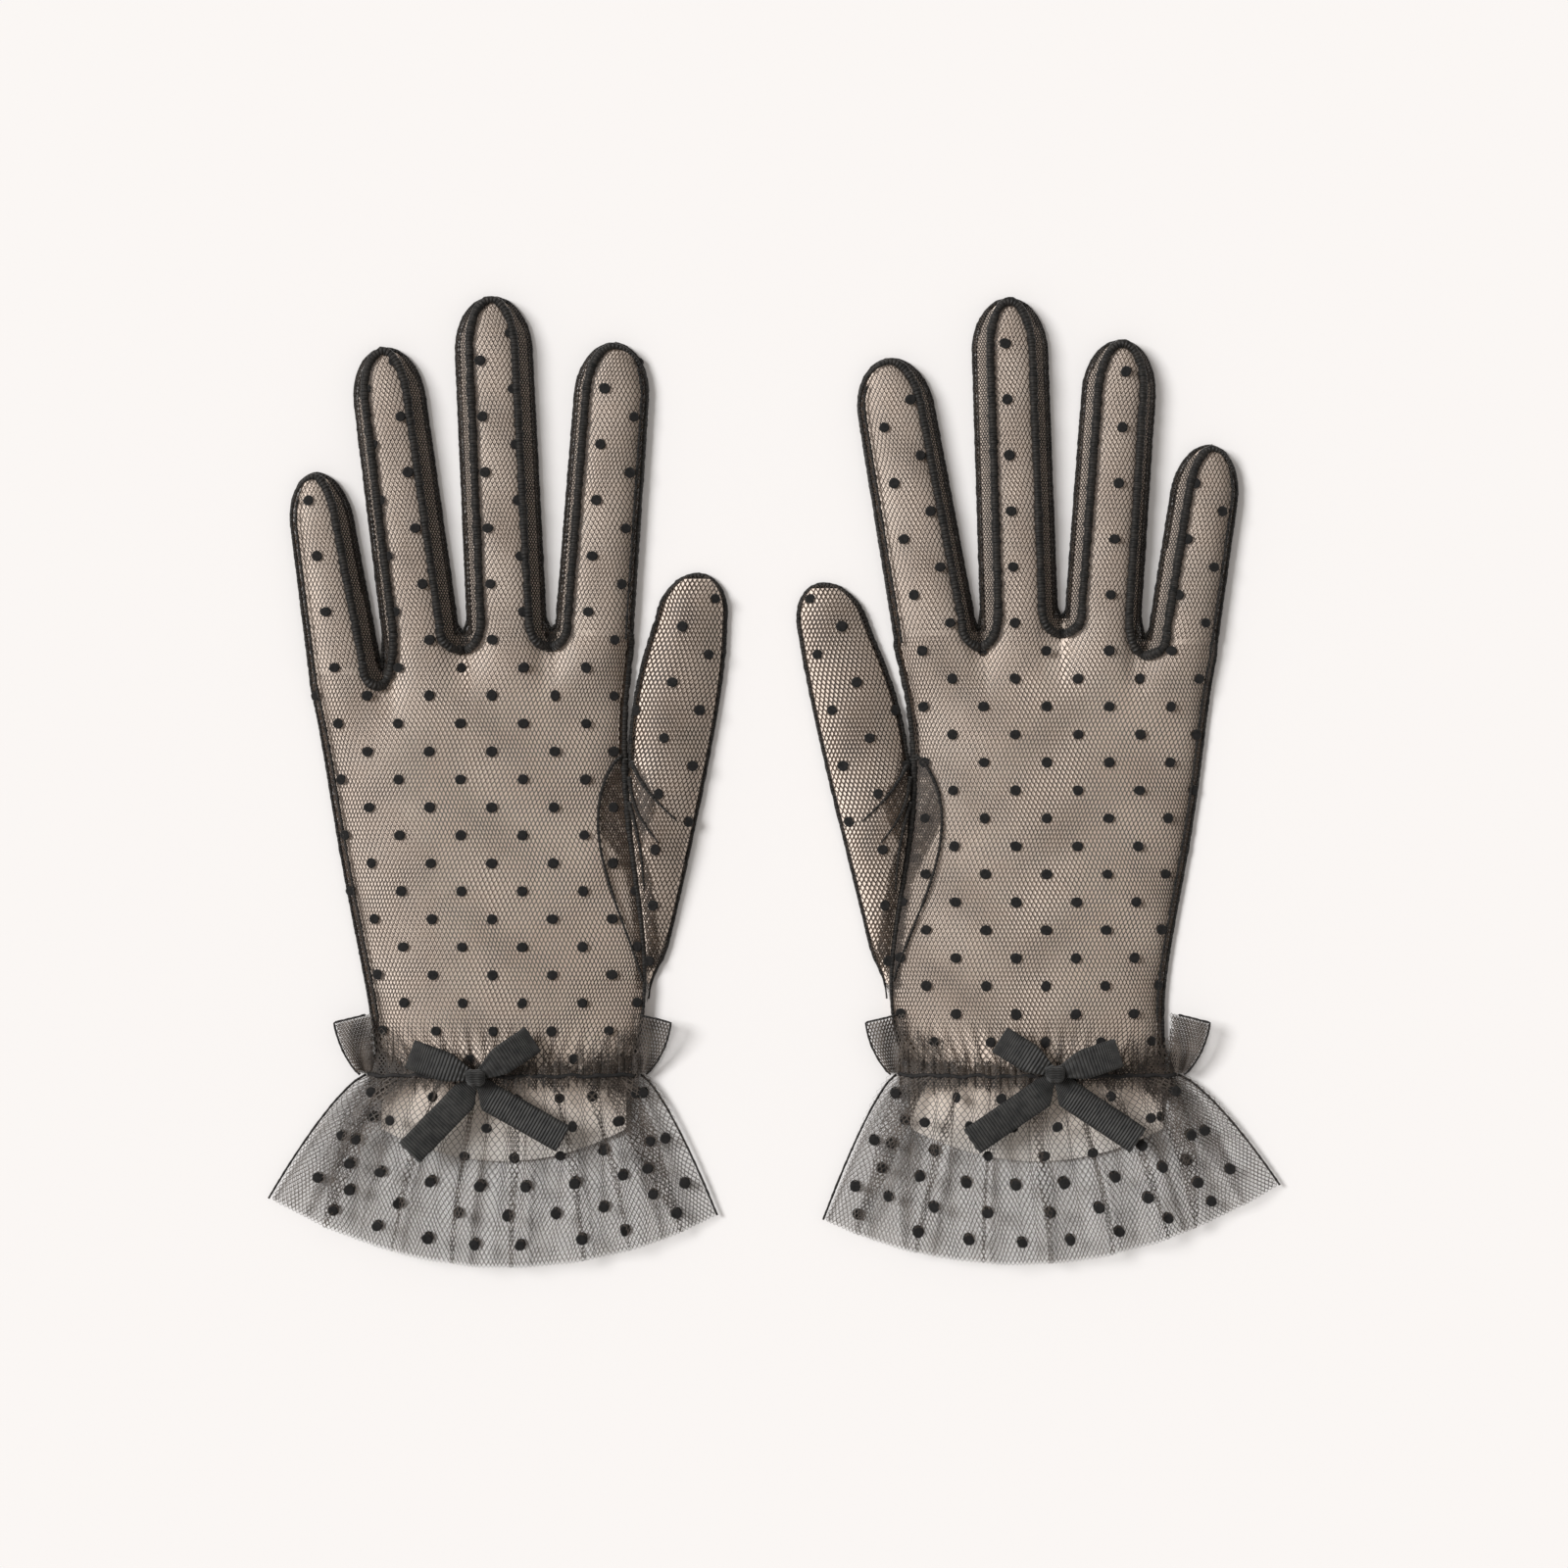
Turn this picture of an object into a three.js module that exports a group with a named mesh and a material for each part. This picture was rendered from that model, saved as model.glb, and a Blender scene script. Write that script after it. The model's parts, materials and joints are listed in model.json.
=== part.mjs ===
// A pair of short dotted-tulle gloves lying flat, palms down, fingers toward +Y.
// Units are millimetres, +Z is up, the table is z = 0, and the origin is the middle of the pair.
// Each glove is drawn with its thumb toward +X; the right-hand glove is that drawing mirrored.
import * as THREE from 'three';
import { mergeVertices } from 'three/addons/utils/BufferGeometryUtils.js';

// Driving dimensions
const WALL = 0.6;            // wall of every net panel
const GAP = 0.3;             // air between two neighbouring pieces
const FINGER_HEIGHT = 8.5;   // crown of an empty finger
const THUMB_HEIGHT = 8.5;
const HAND_HEIGHT = 10;      // crown of the empty hand
const HAND_WRIST_HEIGHT = 10.6;
const CUFF_HEIGHT = 12;      // crown of the flounce at the wrist
const HEM_HEIGHT = 8;        // crown of the flounce at its hem
const WRIST_Y = -80.5;       // line of the gathering elastic
const HEADING = 15;          // flounce cloth above the elastic
const EAR = 5.5;             // how far the heading springs out past the waist on each side
const SPRING_OUT = 4.5;      // how far the flounce springs out below the elastic, little-finger side
const SPRING_IN = 0.5;       // and on the thumb side, where it hangs straighter
const WRIST_LIFT = 1.6;      // hand panels rise this far where they sit inside the flounce
const HAND_ROWS = 7;         // rows of the hand panels from wrist to knuckles
const FINGER_ROWS = 7;
const TIP_LENGTH = 15;       // stretch over which a fingertip rounds off
const TIP_FLAT = 0.3;        // share of the width that is left at the very tip
const KNUCKLE_GAP = 0.8;     // clear slot between the hand and each finger at its hinge
const RIBBON_WIDTH = 6.4;
const RIBBON_THICKNESS = 0.6;
const LOOP_BULGE = 2.6;      // half the height of a bow loop
const BOW_Z = 12.8;          // underside of the bow, just above the gathered waist
const FINGER_ROUND = 0.77;   // exponent of the finger's rounded section
const HAND_ROUND = 0.6;      // exponent of the flatter hand section
const FLAT_BOTTOM = 0.3;     // exponent of the flounce's underside, which lies on the table
const SEAM_ANGLE = 2;        // half of the clear angle between a fourchette and the finger's back
const THUMB_SIDE_ANGLE = 30; // hand back and thumb back stay open below this angle where they join

const DEG = Math.PI / 180;
const v2 = (x, y) => new THREE.Vector2(x, y);
const mix = THREE.MathUtils.lerp;

// A finger: its root, lean in degrees toward the little finger, length, width at the root and
// near the tip, and how wide the fourchette on each side looks from above, or 0 where none is sewn in
const fingerPlan = (name, root, lean, length, base, tip, outerStrip, innerStrip) => (
  { name, root, lean, length, base, tip, outerStrip, innerStrip }
);

// How each glove lies, drawn with the middle of the pair at x = 0 moved to its own centre
const GLOVES = [
  {
    name: 'left',
    centre: -77,
    mirror: false,
    wrist: [-34.5, 40.0],
    outer: [v2(-32.1, -78), v2(-34.2, -60), v2(-39.5, -35), v2(-44.4, -4), v2(-49.6, 27)],
    seam: [v2(37.6, -78), v2(41.8, -57), v2(38.6, -24), v2(35.4, 8), v2(38.2, 38)],
    thumbIn: [v2(42.8, -55), v2(39.8, -24), v2(36.8, 5), v2(40.8, 32), v2(47.4, 51)],
    thumbOut: [v2(45.2, -55), v2(51.8, -28), v2(57.7, 0), v2(62.9, 30), v2(63.4, 46.5)],
    thumbTip: v2(56.2, 57),
    hem: { left: -62.1, right: 61.3, y: -117.2, drop: 16.3, tilt: -2.3 },
    knot: v2(-4.2, -80.8),
    loops: [v2(-18.0, 7.8), v2(15.6, 11.3)],
    tails: [v2(-18.7, -21.1), v2(24.0, -17.3)],
    fingers: [
      fingerPlan('little', v2(-40.9, 29.5), 9, 56, 19.8, 16.2, 0, 4.0),
      fingerPlan('ring', v2(-20.2, 39.5), 7.5, 80.4, 20.8, 19.2, 2.8, 4.2),
      fingerPlan('middle', v2(3.4, 42.4), 2.7, 91, 21.6, 20.8, 3.6, 4.0),
      fingerPlan('index', v2(27.4, 40.4), -4.2, 80.4, 21.2, 20.0, 2.8, 0),
    ],
  },
  {
    name: 'right',
    centre: 77,
    mirror: true,
    wrist: [-33.2, 43.2],
    outer: [v2(-30.9, -78), v2(-30.0, -55), v2(-35.4, -28), v2(-39.2, 0), v2(-44.0, 35)],
    seam: [v2(40.8, -78), v2(45.4, -57), v2(41.2, -26), v2(38.0, 8), v2(43.4, 38)],
    thumbIn: [v2(46.2, -55), v2(42.6, -26), v2(39.4, 5), v2(46.4, 30), v2(53.9, 48.5)],
    thumbOut: [v2(48.4, -55), v2(54.8, -28), v2(61.8, 0), v2(68.2, 30), v2(70.1, 45.5)],
    thumbTip: v2(63.2, 54.4),
    hem: { left: -62.1, right: 63.5, y: -116, drop: 16.4, tilt: -4.8 },
    knot: v2(0.5, -79.8),
    loops: [v2(-17.5, 7.2), v2(15.1, 10.4)],
    tails: [v2(-23.4, -18.8), v2(22.9, -19.1)],
    fingers: [
      fingerPlan('little', v2(-35.3, 38.0), 8.5, 55, 19.0, 18.0, 0, 4.0),
      fingerPlan('ring', v2(-13.4, 44.0), 4.0, 77.5, 20.6, 19.8, 3.0, 3.6),
      fingerPlan('middle', v2(9.6, 45.4), -2.0, 87.5, 21.0, 20.4, 4.0, 4.2),
      fingerPlan('index', v2(32.6, 40.4), -10, 77, 22.6, 20.4, 3.2, 0),
    ],
  },
];

// Finishes
const NET = { color: 0x2b2726, roughness: 0.85, metalness: 0 };
const SIDE_NET = { color: 0x1d1a1a, roughness: 0.85, metalness: 0 };
const NUDE = { color: 0xc2a892, roughness: 0.7, metalness: 0 };
const SATIN = { color: 0x1c1b1b, roughness: 0.45, metalness: 0 };
const ELASTIC = { color: 0x151414, roughness: 0.9, metalness: 0 };

// A slab of nu by nv cells whose corners are moved by place(u, v, w), each from 0 to 1
function slab(nu, nv, place) {
  const box = new THREE.BoxGeometry(1, 1, 1, nu, nv, 1);
  return shaped(box, (p) => place(p.x + 0.5, p.y + 0.5, p.z + 0.5));
}

// A ring of walls: the profile is a closed outline of (wall, v) turned round the tube's axis
function ring(outline, segments, place) {
  const lathe = new THREE.LatheGeometry(outline, segments);
  return shaped(lathe, (p) => {
    const radius = Math.hypot(p.x, p.z);
    return place(p.x, p.z, p.y, radius);
  });
}

// Keep only positions, share the vertices and move each one
function shaped(geometry, move) {
  geometry.deleteAttribute('normal');
  geometry.deleteAttribute('uv');
  const merged = mergeVertices(geometry, 1e-5);
  const position = merged.getAttribute('position');
  const point = new THREE.Vector3();
  for (let i = 0; i < position.count; i += 1) {
    const moved = move(point.fromBufferAttribute(position, i).clone());
    position.setXYZ(i, moved.x, moved.y, moved.z);
  }
  return merged;
}

const signedPower = (value, power) => Math.sign(value) * Math.abs(value) ** power;

// One point on a rounded arch: angle 0 is the thumb-side foot and 180 the outer foot
function archPoint(tube, degrees, v, wall) {
  const angle = degrees * DEG;
  const left = tube.left(v);
  const right = tube.right(v);
  const inset = ((1 - wall) * WALL * 2) / left.distanceTo(right);
  const across = signedPower(Math.cos(angle), tube.round);
  const plan = left.clone().lerp(right, (1 + across * (1 - inset)) / 2);
  const foot = tube.foot(v);
  const rise = (tube.height(v) - foot - (1 - wall) * WALL) * Math.abs(Math.sin(angle)) ** tube.round;
  if (tube.front) plan.add(tube.front((1 + across) / 2, v));
  return new THREE.Vector3(plan.x, plan.y, foot + rise);
}

// A panel that follows the tube between two angles
function archPanel(tube, fromAngle, toAngle, nu, nv) {
  return slab(nu, nv, (u, v, w) => archPoint(tube, mix(toAngle, fromAngle, u), tube.along(v), w));
}

// A panel that lies flat under the tube
function flatPanel(tube, nu, nv, lift) {
  return slab(nu, nv, (u, v, w) => {
    const t = tube.along(v);
    const s = tube.stations ? tube.stations[Math.round(u * nu)] : u;
    const plan = tube.left(t).clone().lerp(tube.right(t), s);
    if (tube.front) plan.add(tube.front(s, t));
    return new THREE.Vector3(plan.x, plan.y, lift(t) + w * WALL);
  });
}

// The hand's back: its columns stand on the stations, so its front edge meets every finger root
function handBackPanel(tube, nv) {
  const nu = tube.stations.length - 1;
  return slab(nu, nv, (u, v, w) => {
    const across = 2 * tube.stations[Math.round(u * nu)] - 1;
    const degrees = Math.acos(signedPower(across, 1 / tube.round)) / DEG;
    return archPoint(tube, Math.max(THUMB_SIDE_ANGLE, degrees), tube.along(v), w);
  });
}

// The outline of a thimble wall in (radius, along): open at the root, closed at the tip
function thimbleOutline(steps) {
  const outline = [v2(0, 1)];
  for (let i = 0; i <= steps; i += 1) outline.push(v2(1, 0.95 * (1 - i / steps)));
  for (let i = 0; i <= steps; i += 1) outline.push(v2(0.9, (0.92 * i) / steps));
  outline.push(v2(0, 0.965));
  return outline.reverse();
}

// A finger stall of lining, an ellipse in section inside its tube
function stall(tube, start, reach, steps) {
  return ring(thimbleOutline(steps), 10, (x, z, along) => {
    const v = mix(start, reach, along);
    const left = tube.left(v);
    const right = tube.right(v);
    const plan = left.clone().lerp(right, 0.5 + 0.38 * x);
    const low = WALL + GAP;
    const high = tube.height(v) - WALL - 2 * GAP;
    return new THREE.Vector3(plan.x, plan.y, (low + high) / 2 + (z * (high - low)) / 2);
  });
}

// The finger as a tapering tube with a rounded tip
function fingerTube(finger) {
  const direction = v2(-Math.sin(finger.lean * DEG), Math.cos(finger.lean * DEG));
  const across = v2(direction.y, -direction.x);
  const roundness = (v) => {
    const past = 1 - ((1 - v) * finger.length) / TIP_LENGTH;
    return past <= 0 ? 1 : Math.max(TIP_FLAT, Math.sqrt(1 - past ** 2));
  };
  const edge = (side) => (v) => {
    const half = (mix(finger.base, finger.tip, v) / 2) * roundness(v);
    const middle = finger.root.clone().addScaledVector(direction, mix(KNUCKLE_GAP / 2, finger.length, v));
    return middle.addScaledVector(across, side * half);
  };
  return {
    left: edge(-1),
    right: edge(1),
    round: FINGER_ROUND,
    foot: () => WALL + GAP,
    height: (v) => mix(3.2, FINGER_HEIGHT, (roundness(v) - TIP_FLAT) / (1 - TIP_FLAT)),
    along: (t) => 1 - (1 - t) ** 1.7,
  };
}

// The hand as a tube from the wrist to the knuckles; its front edge steps round each finger root
function handTube(glove) {
  const outer = new THREE.SplineCurve(glove.outer);
  const seam = new THREE.SplineCurve(glove.seam);
  const front = frontEdge(glove);
  const chord = (s) => outer.getPoint(1).lerp(seam.getPoint(1), s);
  return {
    left: (v) => outer.getPoint(v),
    right: (v) => seam.getPoint(v),
    round: HAND_ROUND,
    foot: (v) => WALL + GAP + wristLift(v),
    height: handHeight,
    along: (t) => t,
    stations: frontStations(glove),
    front: (s, v) => front(s).sub(chord(s)).multiplyScalar(v ** 4),
  };
}

// Corners of the finger roots, from the little finger to the index
function rootCorners(glove) {
  const corners = [];
  for (const finger of glove.fingers) {
    const direction = v2(-Math.sin(finger.lean * DEG), Math.cos(finger.lean * DEG));
    const across = v2(direction.y, -direction.x);
    const root = finger.root.clone().addScaledVector(direction, -KNUCKLE_GAP / 2);
    corners.push(root.clone().addScaledVector(across, -finger.base / 2));
    corners.push(root.clone().addScaledVector(across, finger.base / 2));
  }
  return corners;
}

// The hand's front edge joins those corners in a line
function frontEdge(glove) {
  const corners = rootCorners(glove);
  const first = corners[0].x;
  const span = corners[corners.length - 1].x - first;
  return (s) => {
    const x = first + span * s;
    let k = 0;
    while (k < corners.length - 2 && corners[k + 1].x < x) k += 1;
    const t = THREE.MathUtils.clamp((x - corners[k].x) / (corners[k + 1].x - corners[k].x), 0, 1);
    return corners[k].clone().lerp(corners[k + 1], t);
  };
}

// Columns of the hand panels: one at each root corner and one in the middle of each finger
function frontStations(glove) {
  const corners = rootCorners(glove);
  const first = corners[0].x;
  const span = corners[corners.length - 1].x - first;
  const stations = [];
  for (let i = 0; i < corners.length; i += 2) {
    const left = (corners[i].x - first) / span;
    const right = (corners[i + 1].x - first) / span;
    stations.push(left, (left + right) / 2, right);
  }
  stations.splice(1, 0, 0.03);
  return stations;
}

// The lowest row of the hand is lifted clear of the flounce that surrounds it
function wristLift(v) {
  return WRIST_LIFT * (1 - THREE.MathUtils.clamp(v * HAND_ROWS - 1, 0, 1));
}

// The hand is highest at the gathered wrist and comes down to the fingers at the knuckles
function handHeight(v) {
  return v < 0.5 ? mix(HAND_WRIST_HEIGHT, HAND_HEIGHT, v * 2) : mix(HAND_HEIGHT, FINGER_HEIGHT, v * 2 - 1);
}

// The thumb as a tube from the foot of its seam to its tip
function thumbTube(glove) {
  const inner = new THREE.SplineCurve([...glove.thumbIn, glove.thumbTip.clone().add(v2(-2, 0))]);
  const outer = new THREE.SplineCurve([...glove.thumbOut, glove.thumbTip.clone().add(v2(2, -0.5))]);
  return {
    left: (v) => inner.getPoint(v),
    right: (v) => outer.getPoint(v),
    round: FINGER_ROUND,
    foot: () => WALL + GAP,
    height: (v) => mix(4, THUMB_HEIGHT, Math.sin(Math.PI * mix(0.12, 0.94, v)) ** 0.6),
    along: (t) => t,
  };
}

// The flounce: heading above the elastic, gathered waist, and a flare down to an arched hem
function flouncePlan(glove, across, v) {
  const [waistLeft, waistRight] = glove.wrist;
  const middle = (waistLeft + waistRight) / 2;
  const half = (waistRight - waistLeft) / 2;
  if (v < 0) return v2(middle + across * (half - v * EAR), WRIST_Y - v * HEADING);
  if (v === 0) return v2(middle + across * half, WRIST_Y);
  const { left, right, y, drop, tilt } = glove.hem;
  const hem = v2(mix(left, right, (1 + across) / 2), y - drop * (1 - across ** 2) + tilt * across);
  const spring = across < 0 ? SPRING_OUT : SPRING_IN;
  return v2(mix(middle + across * (half + spring), hem.x, v ** 0.7), mix(WRIST_Y, hem.y, v));
}

function flounceHeight(v) {
  if (v < 0) return CUFF_HEIGHT;
  return mix(CUFF_HEIGHT, HEM_HEIGHT, v);
}

function flounce(glove) {
  const stations = [-1, -0.4, 0, 0.06, 0.3, 0.65, 1];
  const outline = stations.map((v) => v2(2, v));
  outline.push(...stations.map((v) => v2(1, v)).reverse());
  outline.push(outline[0].clone());
  return ring(outline.reverse(), 28, (x, z, v, radius) => {
    const inset = (2 - radius) * WALL;
    const cos = x / radius;
    const sin = z / radius;
    const across = signedPower(cos, HAND_ROUND) * (1 - (2 * inset) / 78);
    const plan = flouncePlan(glove, across, v);
    const middle = 3;
    const reach = sin > 0 ? flounceHeight(v) - middle - inset : middle - inset;
    const curve = sin > 0 ? HAND_ROUND : FLAT_BOTTOM;
    return new THREE.Vector3(plan.x, plan.y, middle + signedPower(sin, curve) * reach);
  });
}

// The elastic runs round the inside of the gathered waist, just below the hand
function wristElastic(glove) {
  const torus = new THREE.TorusGeometry(10, 1, 5, 28);
  const [waistLeft, waistRight] = glove.wrist;
  const half = (waistRight - waistLeft) / 2 - 3.4;
  const middle = (waistLeft + waistRight) / 2;
  return shaped(torus, (p) => {
    const radius = Math.hypot(p.x, p.y);
    const grow = (radius - 10) * 0.6;
    const x = middle + signedPower(p.x / radius, HAND_ROUND) * (half + grow);
    const height = (CUFF_HEIGHT - 4.4) / 2 + grow;
    const z = CUFF_HEIGHT / 2 + signedPower(p.y / radius, HAND_ROUND) * height;
    return new THREE.Vector3(x, WRIST_Y - 0.2 - p.z * 0.8, z);
  });
}

// The hand's lining is a flattened sleeve, open at the wrist and at the knuckles
function handLining(tube) {
  const stations = [0.02, 1 / HAND_ROWS, 2 / HAND_ROWS, 0.5, 0.7, 0.86];
  const outline = stations.map((v) => v2(2, v));
  outline.push(...stations.map((v) => v2(1, v)).reverse());
  outline.push(outline[0].clone());
  return ring(outline, 20, (x, z, v, radius) => {
    const inset = (2 - radius) * 0.4;
    const across = signedPower(x / radius, HAND_ROUND) * 0.86 * (1 - inset / 36);
    const plan = tube.left(v).clone().lerp(tube.right(v), (1 + across) / 2);
    if (tube.front) plan.add(tube.front((1 + across) / 2, v));
    const low = WALL + GAP + wristLift(v) + 0.1 + inset;
    const high = tube.height(v) - WALL - 3 * GAP - inset;
    const middle = (low + high) / 2;
    const reach = (high - low) / 2;
    return new THREE.Vector3(plan.x, plan.y, middle + signedPower(z / radius, HAND_ROUND) * reach);
  });
}

// A teardrop seen from its edge: cusp at x = start, round end at x = reach, all sides of one loop
function teardrop(start, reach, bulge, fromAngle, steps) {
  const points = [];
  for (let i = 0; i <= steps; i += 1) {
    const angle = mix(fromAngle, 360 - fromAngle, i / steps) * DEG;
    const along = (1 - Math.cos(angle)) / 2;
    points.push(v2(start + (reach - start) * along, 1.54 * bulge * Math.sin(angle) * along));
  }
  return points;
}

// One ribbon folded into two loops, seen from its edge: a flat figure of eight
function bowLoops(glove) {
  const [first, second] = glove.loops;
  const flip = (point) => v2(-point.x, -point.y);
  const rightSide = teardrop(0, second.length(), LOOP_BULGE, 40, 14);
  const leftSide = teardrop(0, first.length(), LOOP_BULGE, 40, 14).map(flip);
  const outline = new THREE.Shape([...rightSide, ...leftSide]);
  const inner = LOOP_BULGE - RIBBON_THICKNESS;
  const rightHole = teardrop(4.4, second.length() - 0.7, inner, 0, 12).slice(1).reverse();
  const leftHole = teardrop(4.4, first.length() - 0.7, inner, 0, 12).slice(1).reverse().map(flip);
  outline.holes.push(new THREE.Path(rightHole), new THREE.Path(leftHole));
  const options = { depth: RIBBON_WIDTH, bevelEnabled: false, curveSegments: 4 };
  const solid = new THREE.ExtrudeGeometry(outline, options);
  return shaped(solid, (p) => {
    const arm = p.x < 0 ? first : second;
    const slope = (arm.y / Math.abs(arm.x)) * Math.max(0, Math.abs(p.x) - 4.4);
    const x = (p.x * Math.abs(arm.x)) / arm.length();
    const y = glove.knot.y + RIBBON_WIDTH / 2 - p.z + slope;
    return new THREE.Vector3(glove.knot.x + x, y, BOW_Z + 2 + p.y);
  });
}

// The knot is a short sleeve of ribbon wrapped round the middle of the loops
function bowKnot(glove) {
  const outline = new THREE.Shape();
  outline.absellipse(0, 2.1, 4.8, 2.4, 0, Math.PI * 2);
  const hole = new THREE.Path();
  hole.absellipse(0, 2.1, 4.2, 1.7, 0, Math.PI * 2);
  outline.holes.push(hole);
  const solid = new THREE.ExtrudeGeometry(outline, { depth: 5, bevelEnabled: false, curveSegments: 10 });
  return shaped(solid, (p) => new THREE.Vector3(
    glove.knot.x + p.z - 2.5,
    glove.knot.y + p.x,
    BOW_Z + p.y - 0.1,
  ));
}

// A tail runs from the foot of the knot out over the flounce and follows its slope
function bowTail(glove, index) {
  const end = glove.tails[index];
  const start = v2(Math.sign(end.x) * 3.6, -5.6);
  const run = end.clone().sub(start);
  const length = run.length();
  const direction = run.normalize();
  const across = v2(direction.y, -direction.x);
  const root = glove.knot.clone().add(start);
  return slab(1, 6, (u, v, w) => {
    const plan = root.clone().addScaledVector(direction, v * length);
    plan.addScaledVector(across, (0.5 - u) * -RIBBON_WIDTH);
    const sag = mix(0, 0.6, Math.sin(v * Math.PI));
    return new THREE.Vector3(plan.x, plan.y, BOW_Z + 0.3 + sag + w * RIBBON_THICKNESS);
  });
}

// Put a piece into the pair: mirror it for the right-hand glove and move it to that glove's place
function addPiece(pair, glove, name, geometry, finish) {
  if (glove.mirror) {
    geometry.scale(-1, 1, 1);
    const index = geometry.getIndex();
    for (let i = 0; i < index.count; i += 3) {
      const second = index.getX(i + 1);
      index.setX(i + 1, index.getX(i + 2));
      index.setX(i + 2, second);
    }
  }
  const mesh = new THREE.Mesh(geometry, new THREE.MeshStandardMaterial(finish));
  mesh.name = `${glove.name}_${name}`;
  mesh.position.set(glove.centre, 0, 0);
  pair.add(mesh);
}

// The angle on the finger's arch at which a fourchette of this width meets the back
function stripAngle(finger, width) {
  return Math.acos((1 - width / (finger.base / 2)) ** (1 / FINGER_ROUND)) / DEG;
}

function addFinger(pair, glove, finger) {
  const tube = fingerTube(finger);
  const innerSeam = stripAngle(finger, finger.innerStrip);
  const outerSeam = 180 - stripAngle(finger, finger.outerStrip);
  const fromAngle = finger.innerStrip ? innerSeam + SEAM_ANGLE : 0;
  const toAngle = finger.outerStrip ? outerSeam - SEAM_ANGLE : 180;
  addPiece(pair, glove, `${finger.name}_back`, archPanel(tube, fromAngle, toAngle, 8, FINGER_ROWS), NET);
  addPiece(pair, glove, `${finger.name}_front`, flatPanel(tube, 2, FINGER_ROWS, () => 0), NET);
  addPiece(pair, glove, `${finger.name}_lining`, stall(tube, 0, 0.97, 3), NUDE);
  if (finger.innerStrip) {
    const strip = archPanel(tube, 0, innerSeam - SEAM_ANGLE, 3, FINGER_ROWS);
    addPiece(pair, glove, `${finger.name}_fourchette_in`, strip, SIDE_NET);
  }
  if (finger.outerStrip) {
    const strip = archPanel(tube, outerSeam + SEAM_ANGLE, 180, 3, FINGER_ROWS);
    addPiece(pair, glove, `${finger.name}_fourchette_out`, strip, SIDE_NET);
  }
}

function addThumb(pair, glove) {
  const tube = thumbTube(glove);
  addPiece(pair, glove, 'thumb_back', archPanel(tube, 0, 180 - THUMB_SIDE_ANGLE, 7, 8), NET);
  addPiece(pair, glove, 'thumb_front', flatPanel(tube, 2, 8, () => 0), NET);
  addPiece(pair, glove, 'thumb_lining', stall(tube, 0.24, 0.94, 5), NUDE);
}

function addHand(pair, glove) {
  const tube = handTube(glove);
  addPiece(pair, glove, 'hand_back', handBackPanel(tube, HAND_ROWS), NET);
  const columns = tube.stations.length - 1;
  addPiece(pair, glove, 'hand_palm', flatPanel(tube, columns, HAND_ROWS, wristLift), NET);
  addPiece(pair, glove, 'hand_lining', handLining(tube), NUDE);
}

function addCuff(pair, glove) {
  addPiece(pair, glove, 'flounce', flounce(glove), NET);
  addPiece(pair, glove, 'wrist_elastic', wristElastic(glove), ELASTIC);
}

function addBow(pair, glove) {
  addPiece(pair, glove, 'bow_loops', bowLoops(glove), SATIN);
  addPiece(pair, glove, 'bow_knot', bowKnot(glove), SATIN);
  addPiece(pair, glove, 'bow_tail_out', bowTail(glove, 0), SATIN);
  addPiece(pair, glove, 'bow_tail_in', bowTail(glove, 1), SATIN);
}

const pair = new THREE.Group();
for (const glove of GLOVES) {
  addHand(pair, glove);
  for (const finger of glove.fingers) addFinger(pair, glove, finger);
  addThumb(pair, glove);
  addCuff(pair, glove);
  addBow(pair, glove);
}

export default pair;
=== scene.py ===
import json
import math
import random

import bmesh
import bpy
import numpy as np
from mathutils import Matrix, Vector

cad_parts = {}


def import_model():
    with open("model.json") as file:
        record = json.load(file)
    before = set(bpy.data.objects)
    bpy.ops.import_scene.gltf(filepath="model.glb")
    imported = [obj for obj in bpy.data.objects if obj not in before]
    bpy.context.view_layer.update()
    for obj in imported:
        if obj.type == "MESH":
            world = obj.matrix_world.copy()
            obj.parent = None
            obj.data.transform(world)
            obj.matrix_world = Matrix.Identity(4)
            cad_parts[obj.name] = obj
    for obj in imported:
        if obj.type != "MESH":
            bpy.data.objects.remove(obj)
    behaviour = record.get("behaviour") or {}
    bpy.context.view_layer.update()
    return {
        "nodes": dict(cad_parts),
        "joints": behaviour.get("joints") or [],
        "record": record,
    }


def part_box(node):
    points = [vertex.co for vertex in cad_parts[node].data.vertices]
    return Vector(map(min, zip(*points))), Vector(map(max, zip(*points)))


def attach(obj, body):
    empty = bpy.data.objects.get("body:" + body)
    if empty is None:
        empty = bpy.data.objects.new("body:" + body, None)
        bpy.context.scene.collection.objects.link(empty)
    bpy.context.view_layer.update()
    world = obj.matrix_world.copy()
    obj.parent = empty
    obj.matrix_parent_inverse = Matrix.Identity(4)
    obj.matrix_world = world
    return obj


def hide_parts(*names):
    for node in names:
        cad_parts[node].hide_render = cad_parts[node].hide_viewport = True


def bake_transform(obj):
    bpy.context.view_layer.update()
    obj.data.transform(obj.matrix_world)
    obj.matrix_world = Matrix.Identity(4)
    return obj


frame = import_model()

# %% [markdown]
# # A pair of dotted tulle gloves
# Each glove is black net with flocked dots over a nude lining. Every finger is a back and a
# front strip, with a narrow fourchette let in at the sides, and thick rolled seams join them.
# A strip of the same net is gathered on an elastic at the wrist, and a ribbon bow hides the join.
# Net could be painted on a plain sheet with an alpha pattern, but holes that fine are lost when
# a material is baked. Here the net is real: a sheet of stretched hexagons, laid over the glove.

MM = 0.001  # metres in a millimetre; shapes are worked out in millimetres
SIDES = ("left", "right")
FINGERS = ("little", "ring", "middle", "index")


def lerp(a, b, t):
    return a + (b - a) * t


def smooth(t):
    """0 below 0, 1 above 1, and an even rise between them."""
    t = min(1.0, max(0.0, t))
    return t * t * (3 - 2 * t)


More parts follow.
